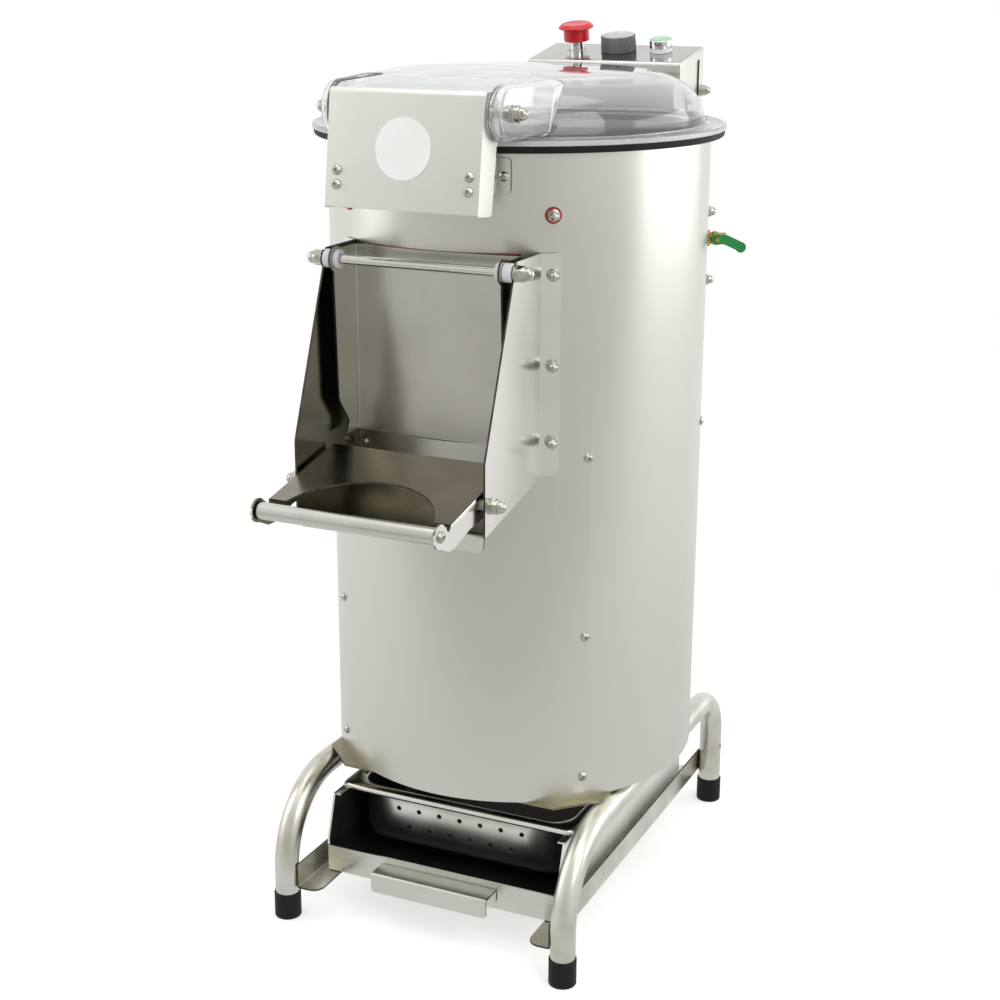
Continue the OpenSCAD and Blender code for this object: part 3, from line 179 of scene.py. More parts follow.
@dataclass(frozen=True)
class Finish:
    """What every finish shares: its name, its colour and how rough it is."""

    name: str
    colour: str
    roughness: float

    def start(self) -> tuple[bpy.types.Material, Tree, Socket]:
        """Starts a material.

        Returns:
            The material, its tree without nodes, and the object coordinates.
        """
        material = bpy.data.materials.new(self.name)
        material.use_nodes = True
        material.diffuse_color = linear(self.colour)
        tree = material.node_tree
        tree.nodes.clear()
        return material, tree, add(tree, "TexCoord", {}).outputs["Object"]

    def close(self, tree: Tree, **inputs: Value) -> bpy.types.Node:
        """Ends the tree in a Principled shader.

        Args:
            tree: The node tree.
            **inputs: Sockets of the shader, with _ for each space of their names.

        Returns:
            The shader.
        """
        shader = add(tree, "BsdfPrincipled", {k.replace("_", " "): v for k, v in inputs.items()})
        add(tree, "OutputMaterial", {"Surface": shader.outputs["BSDF"]})
        return shader

    def per(self, width_mm: float) -> float:
        """Gives the scale of a pattern whose features are width_mm wide."""
        return 1 / (width_mm * MM)

    def bumps(self, tree: Tree, height: Socket, depth_mm: float) -> Socket:
        """Turns a height into a normal.

        Args:
            tree: The node tree.
            height: A pattern from 0 to 1.
            depth_mm: How deep the pattern is.

        Returns:
            The normal.
        """
        node = add(tree, "Bump", {"Height": height, "Strength": 1.0, "Distance": depth_mm * MM})
        return node.outputs["Normal"]

    def build(self) -> bpy.types.Material:
        """Makes the material."""
        raise NotImplementedError


@dataclass(frozen=True)
class Metal(Finish):
    """Bare metal, mostly stainless steel: ground, brushed, blasted or polished.

    The lines are drawn line_mm apart, coarser than the real grit of 0.1 mm, so that
    they show. Handling leaves soft clouds cloud_mm wide in colour, towards tarnish, and
    in gloss.
    """

    grain: Grain = Grain.NONE
    line_mm: float = 1.5
    spread: float = 0.03
    cloud_mm: float = 60.0
    tarnish: str = ""
    depth_mm: float = 0.003

    def build(self) -> bpy.types.Material:
        """Makes the material."""
        material, tree, place = self.start()
        pace = [change / (self.line_mm * MM) for change in self.grain.value]
        across = add(tree, "Mapping", {"Vector": place, "Scale": pace})
        lines = add(tree, "TexNoise", {
            "Vector": across.outputs["Vector"], "Scale": 1.0, "Detail": 3.0, "Roughness": 0.6,
        })
        clouds = add(tree, "TexNoise", {"Vector": place, "Scale": self.per(self.cloud_mm), "Detail": 2.0})
        tone = ramp(tree, clouds.outputs["Fac"], [
            (0.3, linear(self.tarnish or self.colour)), (0.62, linear(self.colour)),
        ])
        mixed = add(tree, "Math", {0: lines.outputs["Fac"], 1: clouds.outputs["Fac"]}, operation="ADD")
        rough = add(tree, "MapRange", {
            "Value": mixed.outputs[0], "From Min": 0.6, "From Max": 1.4,
            "To Min": self.roughness - self.spread, "To Max": self.roughness + self.spread,
        })
        self.close(
            tree, Base_Color=tone, Metallic=1.0, Roughness=rough.outputs["Result"],
            Normal=self.bumps(tree, lines.outputs["Fac"], self.depth_mm),
        )
        return material


@dataclass(frozen=True)
class Polymer(Finish):
    """Moulded plastic, rubber, vinyl or paint, with a fine texture of its tool.

    The texture is drawn texture_mm wide, coarser than a real tool's, so that it shows.
    Patches patch_mm wide differ a little in colour, towards shade, and in gloss.
    """

    texture_mm: float = 0.8
    depth_mm: float = 0.01
    shade: str = ""
    ior: float = 1.46
    soft: float = 0.0
    clear: float = 0.0
    shine: float = 0.5
    patch_mm: float = 25.0

    def build(self) -> bpy.types.Material:
        """Makes the material."""
        material, tree, place = self.start()
        fine = add(tree, "TexNoise", {
            "Vector": place, "Scale": self.per(self.texture_mm), "Detail": 2.0,
        })
        wide = add(tree, "TexNoise", {"Vector": place, "Scale": self.per(self.patch_mm), "Detail": 3.0})
        tone = ramp(tree, wide.outputs["Fac"], [
            (0.35, linear(self.shade or self.colour)), (0.6, linear(self.colour)),
        ])
        rough = add(tree, "MapRange", {
            "Value": wide.outputs["Fac"], "From Min": 0.3, "From Max": 0.7,
            "To Min": self.roughness * 0.88, "To Max": self.roughness * 1.12,
        })
        self.close(
            tree, Base_Color=tone, Roughness=rough.outputs["Result"], IOR=self.ior,
            Subsurface_Weight=self.soft, Subsurface_Scale=0.002, Transmission_Weight=self.clear,
            Specular_IOR_Level=self.shine, Normal=self.bumps(tree, fine.outputs["Fac"], self.depth_mm),
        )
        return material


@dataclass(frozen=True)
class ClearPolycarbonate(Finish):
    """Vacuum-formed clear polycarbonate: bright edges, slow waves and a little cloud.

    The part milk of it is white plastic that lets no light through.
    """

    wave_mm: float = 45.0
    milk: float = 0.0
    haze_mm: float = 18.0
    wave_depth_mm: float = 0.12

    def build(self) -> bpy.types.Material:
        """Makes the material."""
        material, tree, place = self.start()
        waves = add(tree, "TexNoise", {"Vector": place, "Scale": self.per(self.wave_mm), "Detail": 1.0})
        haze = add(tree, "TexNoise", {"Vector": place, "Scale": self.per(self.haze_mm), "Detail": 4.0})
        rough = add(tree, "MapRange", {
            "Value": haze.outputs["Fac"], "From Min": 0.4, "From Max": 0.7,
            "To Min": self.roughness, "To Max": self.roughness + 0.05,
        })
        self.close(
            tree, Base_Color=linear(self.colour), Roughness=rough.outputs["Result"], IOR=1.585,
            Transmission_Weight=1.0 - self.milk,
            Normal=self.bumps(tree, waves.outputs["Fac"], self.wave_depth_mm),
        )
        return material


@dataclass(frozen=True)
class Abrasive(Finish):
    """Carborundum grit in resin: dark grains grain_mm across, a few of them paler."""

    grain_mm: float = 1.6
    pale: str = "6a655e"
    depth_mm: float = 0.5

    def build(self) -> bpy.types.Material:
        """Makes the material."""
        material, tree, place = self.start()
        grit = add(tree, "TexVoronoi", {"Vector": place, "Scale": self.per(self.grain_mm)})
        tone = ramp(tree, grit.outputs["Color"], [(0.2, linear(self.colour)), (0.95, linear(self.pale))])
        self.close(
            tree, Base_Color=tone, Roughness=self.roughness,
            Normal=self.bumps(tree, grit.outputs["Distance"], self.depth_mm),
        )
        return material


# Satin cylinder sheet: soft upright bands of light, a faint warm tone
DRUM_STEEL = Metal(
    "ground_stainless_drum_sheet", "d6d6cf", 0.3, Grain.AROUND, spread=0.02, cloud_mm=160.0,
    tarnish="d3d3cb", depth_mm=0.002,
)
# Folded sheet: cleaner and a little glossier than the drum, its lines run from side to side
SHEET_STEEL = Metal(
    "ground_stainless_folded_sheet", "d6d5ce", 0.28, Grain.ALONG_X, line_mm=1.4, tarnish="cfcec6",
    depth_mm=0.0002,
)
# Inside faces of the chute: mirror-like satin, painted brown-grey as shade and as the reflection of the dark
# around it
CHUTE_STEEL = Metal(
    "shaded_rolled_stainless_chute_sheet", "9c988d", 0.17, Grain.UPRIGHT, line_mm=1.3,
    cloud_mm=50.0, tarnish="928e82", depth_mm=0.0008,
)
# Outside faces of the chute: pale, almost like the drum; the lit copy of the same sheet
CHEEK_STEEL = Metal(
    "satin_stainless_chute_outside", "e6e6e1", 0.2, Grain.UPRIGHT, line_mm=1.3, spread=0.02,
    tarnish="e0e0da", depth_mm=0.0006,
)
# Door: the same sheet, rubbed satin, so that the chute's dark corner blurs in it
DOOR_STEEL = Metal(
    "satin_stainless_door_sheet", "c9c8c0", 0.26, Grain.UPRIGHT, line_mm=1.3, spread=0.02,
    tarnish="c2c1b8", depth_mm=0.00004,
)
# Tipping tray: ground from side to side, painted brown-grey as shade and as the reflection of the dark door,
# and it smears what it mirrors
TRAY_STEEL = Metal(
    "ground_stainless_tray_plate", "938d80", 0.24, Grain.ALONG_X, line_mm=1.1, spread=0.04,
    cloud_mm=45.0, tarnish="898376", depth_mm=0.001,
)
# Cover plate: bead-blasted, almost without reflections, warm pale grey
COVER_STEEL = Metal(
    "bead_blasted_stainless_cover", "e4e4dd", 0.5, line_mm=1.0, spread=0.04, tarnish="e1e0d9",
    depth_mm=0.004,
)
# Control housing: blasted like the cover, a little smoother
BOX_STEEL = Metal(
    "blasted_stainless_control_housing", "dedcd6", 0.4, line_mm=1.0, spread=0.04, tarnish="d8d6cf",
)
# Leg tube: hand-polished over the bends, with a faint brown bloom
TUBE_STEEL = Metal(
    "hand_polished_stainless_tube", "dbdad0", 0.3, line_mm=6.0, spread=0.05, cloud_mm=45.0,
    tarnish="bfbcae",
)
# Panel under the controls: darker and glossier, it mirrors the knobs
PANEL_STEEL = Metal(
    "polished_stainless_control_panel", "b9b8b4", 0.14, Grain.ALONG_X, line_mm=1.2, cloud_mm=50.0,
    tarnish="aeada8",
)
# Plates between the legs, browned by welding
PLATE_STEEL = Metal(
    "browned_stainless_cross_plate", "938c74", 0.3, line_mm=3.0, spread=0.05, cloud_mm=30.0,
    tarnish="7f785f", depth_mm=0.001,
)
# Outer sides of the peel tray: dull, and paler than the folded sheet by painted light, so that they stay pale
TRAY_SIDE = Metal(
    "painted_light_stainless_tray_side", "f6f6f2", 0.6, line_mm=1.4, spread=0.04, tarnish="f0f0eb",
    depth_mm=0.0002,
)
# Floor of the chute, in view through the tray's opening: painted brown-grey as shade
FLOOR_STEEL = Metal(
    "shaded_stainless_chute_floor", "8d8672", 0.3, Grain.ALONG_X, line_mm=1.4, spread=0.04,
    cloud_mm=30.0, tarnish="7d7662", depth_mm=0.0002,
)
# Pressed pan: soft mirror, dark where it faces into the tray, where its inside has painted shade
PAN_STEEL = Metal(
    "pressed_stainless_pan", "f0efea", 0.24, cloud_mm=40.0, tarnish="e8e7e1", depth_mm=0.0008,
)
# Inside of the pan: dark grey as painted shade, so that the holes look dark
PAN_INSIDE = Metal(
    "painted_shade_pan_inside", "4c4b48", 0.5, spread=0.05, cloud_mm=40.0, tarnish="3f3e3b",
)
# Rolled rim of the pan: rubbed bright, with two fine lines of light
RIM_STEEL = Metal(
    "rubbed_stainless_pan_rim", "e6e6e2", 0.2, cloud_mm=40.0, tarnish="dededa", depth_mm=0.001,
)
# Hinge rod: polished, nearly a mirror
BRIGHT_STEEL = Metal(
    "polished_stainless", "d6d5d0", 0.12, cloud_mm=40.0, tarnish="cbcac3", depth_mm=0.002,
)
# Grip bar: brushed along its length, so that its light lies in long bands
BAR_STEEL = Metal(
    "brushed_stainless_bar", "cfcec8", 0.26, Grain.ALONG_X, line_mm=1.0, cloud_mm=50.0,
    tarnish="c6c5bd",
)
# Machined fasteners: small clear highlights
FASTENER_STEEL = Metal(
    "machined_stainless_fastener", "c2c0b8", 0.15, line_mm=0.8, spread=0.04, cloud_mm=6.0,
    tarnish="a9a69c", depth_mm=0.002,
)
# Laser-cut edges: dull and slightly burnt, and painted darker still as shade, for the dark lines the edges
# show
CUT_STEEL = Metal(
    "laser_cut_stainless_edge", "57554e", 0.45, line_mm=0.8, spread=0.08, cloud_mm=10.0,
    tarnish="3d3b36", depth_mm=0.02,
)
# Embossed liner, seen only through the lid and the door
LINER_STEEL = Metal(
    "embossed_stainless_liner", "a6a6a2", 0.4, line_mm=3.0, spread=0.08, cloud_mm=50.0,
    tarnish="94948f", depth_mm=0.05,
)
# Valve body: turned brass, yellow with small highlights, dull where it is handled
BRASS = Metal(
    "turned_brass", "b89a55", 0.25, line_mm=1.0, spread=0.06, cloud_mm=8.0, tarnish="8f7640",
    depth_mm=0.004,
)
# Bezels of the buttons: plated, a clear mirror
CHROME = Metal(
    "chromed_brass_bezel", "e6e7e8", 0.06, line_mm=1.0, spread=0.02, cloud_mm=10.0,
    tarnish="dcdddd", depth_mm=0.001,
)
# Motor shell: cast and painted, dark blue-grey with a coarse skin
CAST_METAL = Polymer(
    "painted_cast_motor_shell", "3c444a", 0.5, texture_mm=1.5, depth_mm=0.05, shade="333a40",
)
# Seals, rings and foot caps: moulded, black, with weak wide highlights
BLACK_RUBBER = Polymer(
    "moulded_black_rubber", "121212", 0.6, texture_mm=0.9, depth_mm=0.02, shade="0d0d0d", ior=1.52,
    shine=0.25,
)
# Strip and washers: moulded silicone, a matt brick red
RED_RUBBER = Polymer(
    "moulded_red_silicone_strip", "b0382c", 0.5, texture_mm=0.9, shade="93291f", ior=1.41,
)
# Inside of the peel tray: almost black as painted shade, with a satin sheen
TRAY_SHADE = Polymer(
    "painted_shade_tray_inside", "262422", 0.55, texture_mm=1.2, depth_mm=0.02, shade="1d1b1a",
    ior=1.5, shine=0.25,
)
# Small black fittings: moulded, a little glossier than the rubber
BLACK_PLASTIC = Polymer(
    "moulded_black_nylon", "171718", 0.4, texture_mm=0.7, shade="121213", ior=1.53, shine=0.35,
)
# Bushings: turned, bluish white and smooth
NYLON = Polymer(
    "turned_natural_nylon", "d6d8db", 0.35, texture_mm=0.9, depth_mm=0.008, shade="ccced3",
    ior=1.53,
)
# Round disc on the cover and mark of the knob: white vinyl, smooth and bare
BADGE = Polymer("white_vinyl_disc", "f4f4f2", 0.35, texture_mm=1.2, depth_mm=0.004, shade="efefec")
# Timer knob: moulded, mid grey, its ribs catch fine lines of light
GREY_PLASTIC = Polymer(
    "moulded_grey_knob_plastic", "6e7074", 0.3, texture_mm=0.6, depth_mm=0.006, shade="65676b",
)
# Cap of the timer knob: moulded, pale grey
KNOB_TOP = Polymer("light_grey_knob_cap", "b4b6b9", 0.3, depth_mm=0.006, shade="abadb0")
# Waste pipe: extruded, dull grey
PIPE_PLASTIC = Polymer(
    "extruded_grey_pvc_pipe", "77787a", 0.45, texture_mm=1.0, shade="6c6d6f", ior=1.53,
)
# Switch bodies: moulded, off-white
SWITCH_PLASTIC = Polymer("moulded_light_switch_body", "d0d0ca", 0.4, texture_mm=0.7, shade="c5c5bf")
# Boot under the start button: moulded silicone, white and soft
BOOT = Polymer(
    "white_silicone_button_boot", "e9ebeb", 0.35, texture_mm=0.9, depth_mm=0.004, shade="e2e5e5",
    ior=1.41,
)
# Stop head: moulded, bright red with a clear highlight
RED_PLASTIC = Polymer(
    "moulded_red_stop_plastic", "cf2230", 0.28, depth_mm=0.006, shade="c41b28", ior=1.49, soft=0.05,
)
# Start cap: moulded, pale green, lets a little light in
GREEN_CAP = Polymer(
    "translucent_green_button_cap", "b4dcb9", 0.22, texture_mm=0.7, depth_mm=0.005, shade="a6d3ad",
    ior=1.49, soft=0.3, clear=0.15,
)
# Lever of the valve: dipped, deep green with a rounded gloss
GREEN_VINYL = Polymer(
    "dipped_green_vinyl", "14833c", 0.3, texture_mm=1.1, depth_mm=0.02, shade="0d7432", ior=1.5,
    soft=0.05,
)
# Trimmed edge of the lid: pale and half clear, a painted highlight that glows against the seal
LIP_HIGHLIGHT = Polymer(
    "painted_highlight_polycarbonate_lip", "eef1f2", 0.25, depth_mm=0.004, shade="e6eaec", ior=1.585,
    clear=0.45,
)
# Dome of the lid: clear, what is behind it waves a little
CLEAR = ClearPolycarbonate("clear_formed_polycarbonate", "fbfdfd", 0.0, milk=0.06)
# Flange of the lid: a little milky white, painted light that keeps it pale over the dark seal
CLOUDY = ClearPolycarbonate("cloudy_formed_polycarbonate", "f6f9fa", 0.02, milk=0.22)
# Hinge ears of the lid: drawn thin, nearly as clear as the dome
EAR_CLEAR = ClearPolycarbonate("thin_formed_polycarbonate", "fafcfd", 0.0, milk=0.07)
# Disc: bonded grit, rough and dark, with single paler grains
GRIT = Abrasive("bonded_carborundum_grit", "2d2b29", 0.85)

SLOT_FINISH: dict[str, Finish] = {
    "drum_steel": DRUM_STEEL, "sheet_steel": SHEET_STEEL, "cover_steel": COVER_STEEL,
    "tube_steel": TUBE_STEEL, "polished_steel": BRIGHT_STEEL, "bright_steel": FASTENER_STEEL,
    "shaft_steel": FASTENER_STEEL, "liner_steel": LINER_STEEL, "dark_tray_steel": SHEET_STEEL,
    "motor_casting": CAST_METAL, "abrasive_grit": GRIT, "clear_lid": CLEAR,
    "black_rubber": BLACK_RUBBER, "black_plastic": BLACK_PLASTIC, "white_nylon": NYLON,
    "white_badge": BADGE, "grey_plastic": GREY_PLASTIC, "grey_pipe": PIPE_PLASTIC,
    "red_plastic": RED_PLASTIC, "green_plastic": GREEN_CAP, "green_vinyl": GREEN_VINYL,
    "chrome_bezel": CHROME, "brass": BRASS,
}
_made: dict[str, bpy.types.Material] = {}


def material_of(finish: Finish) -> bpy.types.Material:
    """Gives a finish's material, made once."""
    if finish.name not in _made:
        _made[finish.name] = finish.build()
    return _made[finish.name]


# ------------------------------------------------------------------- meshes


def bevel(bm: Mesh, geom: list, width: float, segments: int, kind: str = "EDGES") -> None:
    """Bevels edges or corners in place.

    Args:
        bm: The mesh.
        geom: The edges, or the corners for kind VERTICES.
        width: The bevel's width.
        segments: Its steps.
        kind: EDGES or VERTICES.
    """
    bmesh.ops.bevel(
        bm, geom=geom, offset=width, offset_type="OFFSET", segments=segments, profile=0.5,
        affect=kind, material=-1, clamp_overlap=True,
    )


def turns(edge: Edge, least: float) -> bool:
    """Tells whether an edge's two faces turn by more than an angle in radians."""
    return edge.is_manifold and edge.calc_face_angle(0.0) > least


def soften(bm: Mesh, width: float, segments: int = 2, angle: float = 30.0) -> None:
    """Bevels every edge that turns by more than an angle in degrees."""
    bevel(bm, [e for e in bm.edges if turns(e, math.radians(angle))], width, segments)


def tidy(bm: Mesh, distance: float = WELD) -> None:
    """Merges doubles and turns the faces outward."""
    bmesh.ops.remove_doubles(bm, verts=bm.verts[:], dist=distance)
    bmesh.ops.dissolve_degenerate(bm, dist=distance, edges=bm.edges[:])
    bmesh.ops.recalc_face_normals(bm, faces=bm.faces[:])


def split(bm: Mesh, spot: Sequence[float], out: Sequence[float], clear: bool = False) -> None:
    """Cuts a mesh along a plane.

    Args:
        bm: The mesh.
        spot: A point of the plane.
        out: The plane's direction.
        clear: Whether what lies out there goes, and the cut is closed.
    """
    whole = bm.verts[:] + bm.edges[:] + bm.faces[:]
    bmesh.ops.bisect_plane(bm, geom=whole, plane_co=spot, plane_no=out, clear_outer=clear)
    if clear:
        bmesh.ops.holes_fill(bm, edges=[e for e in bm.edges if e.is_boundary], sides=8)


def picked(grown: dict[str, list], kind: type) -> list:
    """Picks the corners, edges or faces out of what an operator gives back."""
    return [part for part in grown["geom"] if isinstance(part, kind)]


def flat_face(bm: Mesh, outline: Outline, rounding: Rounding = None) -> None:
    """Draws a face in the plane X = 0.

    Args:
        bm: The mesh.
        outline: Its corners as (y, z).
        rounding: Radius of a corner, by its number.
    """
    corners = [bm.verts.new((0.0, y, z)) for y, z in outline]
    bm.faces.new(corners)
    for index, radius in (rounding or {}).items():
        bevel(bm, [corners[index]], radius, 6, "VERTICES")


def prism(outline: Outline, x0: float, x1: float, rounding: Rounding = None) -> Mesh:
    """Extrudes an outline along X.

    Args:
        outline: The corners as (y, z).
        x0: Where it starts.
        x1: Where it ends.
        rounding: Radius of a corner, by its number.

    Returns:
        The closed mesh.
    """
    bm = bmesh.new()
    flat_face(bm, outline, rounding)
    bmesh.ops.translate(bm, verts=bm.verts[:], vec=(x0, 0.0, 0.0))
    grown = bmesh.ops.extrude_face_region(bm, geom=bm.faces[:], use_keep_orig=True)
    bmesh.ops.translate(bm, verts=picked(grown, Vert), vec=(x1 - x0, 0.0, 0.0))
    tidy(bm)
    return bm


def turned(outline: Outline, rounding: Rounding = None, steps: int = 64) -> Mesh:
    """Turns a closed profile round Z.

    Args:
        outline: The corners as (radius, height).
        rounding: Radius of a corner, by its number.
        steps: Steps of the full turn.

    Returns:
        The closed mesh, about the origin.
    """
    bm = bmesh.new()
    flat_face(bm, outline, rounding)
    bmesh.ops.delete(bm, geom=bm.faces[:], context="FACES_ONLY")
    bmesh.ops.spin(
        bm, geom=bm.verts[:] + bm.edges[:], cent=(0, 0, 0), axis=(0, 0, 1), dvec=(0, 0, 0),
        angle=2 * math.pi, steps=steps, use_merge=True, use_duplicate=False,
    )
    tidy(bm, 10 * WELD)
    return bm


def ring(
    inner: float, outer: float, low: float, high: float, rounding: Rounding = None, steps: int = 64,
) -> Mesh:
    """Turns a rectangle round Z: a ring, or a disc where inner is 0.

    Args:
        inner: The inner radius.
        outer: The outer radius.
        low: The lower height.
        high: The upper height.
        rounding: Radius of a corner, by its number: 1 is outside below, 2 outside above.
        steps: Steps of the full turn.

    Returns:
        The closed mesh, about the origin.
    """
    return turned([(inner, low), (outer, low), (outer, high), (inner, high)], rounding, steps)


def block(size: Sequence[float], middle: Sequence[float], edge: float) -> Mesh:
    """Makes a block with softened edges.

    Args:
        size: Its width, depth and height.
        middle: Its middle.
        edge: The width of its softened edges.

    Returns:
        The closed mesh.
    """
    bm = bmesh.new()
    bmesh.ops.create_cube(bm, size=1.0)
    bmesh.ops.scale(bm, vec=size, verts=bm.verts[:])
    bmesh.ops.translate(bm, vec=middle, verts=bm.verts[:])
    soften(bm, edge)
    return bm


def joined(parts: Iterable[Mesh]) -> Mesh:
    """Puts several meshes into one and frees them."""
    whole = bmesh.new()
    for part in parts:
        mesh = bpy.data.meshes.new("part")
        part.to_mesh(mesh)
        whole.from_mesh(mesh)
        bpy.data.meshes.remove(mesh)
        part.free()
    return whole


def moved(bm: Mesh, matrix: Matrix) -> Mesh:
    """Moves a mesh and gives it back."""
    bmesh.ops.transform(bm, matrix=matrix, verts=bm.verts[:])
    return bm


def node_copy(node: str) -> Mesh:
    """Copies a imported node's mesh, merged, with its flat faces whole."""
    bm = bmesh.new()
    bm.from_mesh(frame["nodes"][node].data)
    bmesh.ops.remove_doubles(bm, verts=bm.verts[:], dist=WELD)
    flat = math.radians(0.2)
    bmesh.ops.dissolve_limit(bm, angle_limit=flat, verts=bm.verts[:], edges=bm.edges[:])
    return bm


def piece(
    bm: Mesh, name: str, finishes: Sequence[Finish], node: str = "", like: str = "",
    body: str = "", slot: str = "", smooth: float = 35.0, flat_from: float = 1.0,
) -> bpy.types.Object:
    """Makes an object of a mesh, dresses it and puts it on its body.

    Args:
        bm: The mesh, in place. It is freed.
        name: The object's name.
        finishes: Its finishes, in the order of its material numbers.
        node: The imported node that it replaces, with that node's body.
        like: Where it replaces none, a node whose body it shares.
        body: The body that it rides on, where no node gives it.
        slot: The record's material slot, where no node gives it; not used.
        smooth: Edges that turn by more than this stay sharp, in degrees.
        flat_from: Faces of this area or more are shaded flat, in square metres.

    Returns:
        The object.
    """
    mesh = bpy.data.meshes.new(name)
    bm.to_mesh(mesh)
    bm.free()
    mesh.shade_smooth()
    mesh.set_sharp_from_angle(angle=math.radians(smooth))
    for polygon in mesh.polygons:
        polygon.use_smooth = polygon.area < flat_from
    for finish in finishes:
        mesh.materials.append(material_of(finish))
    obj = bpy.data.objects.new(name, mesh)
    bpy.context.scene.collection.objects.link(obj)
    body = body or BODIES[node or like]
    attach(obj, body)
    if node:
        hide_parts(node)
    slot or SLOTS[node or like]
    LOG.info("%s: %d faces on %s", name, len(mesh.polygons), body)
    return obj


def cut(obj: bpy.types.Object, tools: Mesh) -> None:
    """Takes the tools' volume out of an object.

    Args:
        obj: The object, closed.
        tools: Closed meshes that don't meet each other. They are freed.
    """
    mesh = bpy.data.meshes.new("tools")
    tools.to_mesh(mesh)
    tools.free()
    cutter = bpy.data.objects.new("tools", mesh)
    bpy.context.scene.collection.objects.link(cutter)
    modifier = obj.modifiers.new("holes", "BOOLEAN")
    modifier.operation = "DIFFERENCE"
    modifier.solver = "EXACT"
    modifier.object = cutter
    bpy.context.view_layer.update()
    ready = obj.evaluated_get(bpy.context.evaluated_depsgraph_get())
    shaped = bpy.data.meshes.new_from_object(ready)
    obj.modifiers.clear()
    old = obj.data
    obj.data = shaped
    shaped.name = obj.name
    bpy.data.meshes.remove(old)
    bpy.data.objects.remove(cutter)
    bpy.data.meshes.remove(mesh)


# ------------------------------------------------------------ sub-assemblies


class Faces(Enum):
    """Which faces of a sheet part get its second finish."""

    NONE = "none"
    OUTSIDE = "outside"
    TOP = "top"


@dataclass(frozen=True)
class Sheet:
    """One folded sheet part.

    Attributes:
        node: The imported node.
        finish: The finish of its faces.
        bent: Whether its long corners are bends.
        corner: Radius of its plates' corners, 0 for none.
        faces: Which faces have the second finish.
        second: The second finish.
        beyond: Corners nearer to the middle than this stay sharp, 0 to round them all.
    """

    node: str
    finish: Finish
    bent: bool = False
    corner: float = 0.0
    faces: Faces = Faces.NONE
    second: Optional[Finish] = None
    beyond: float = 0.0


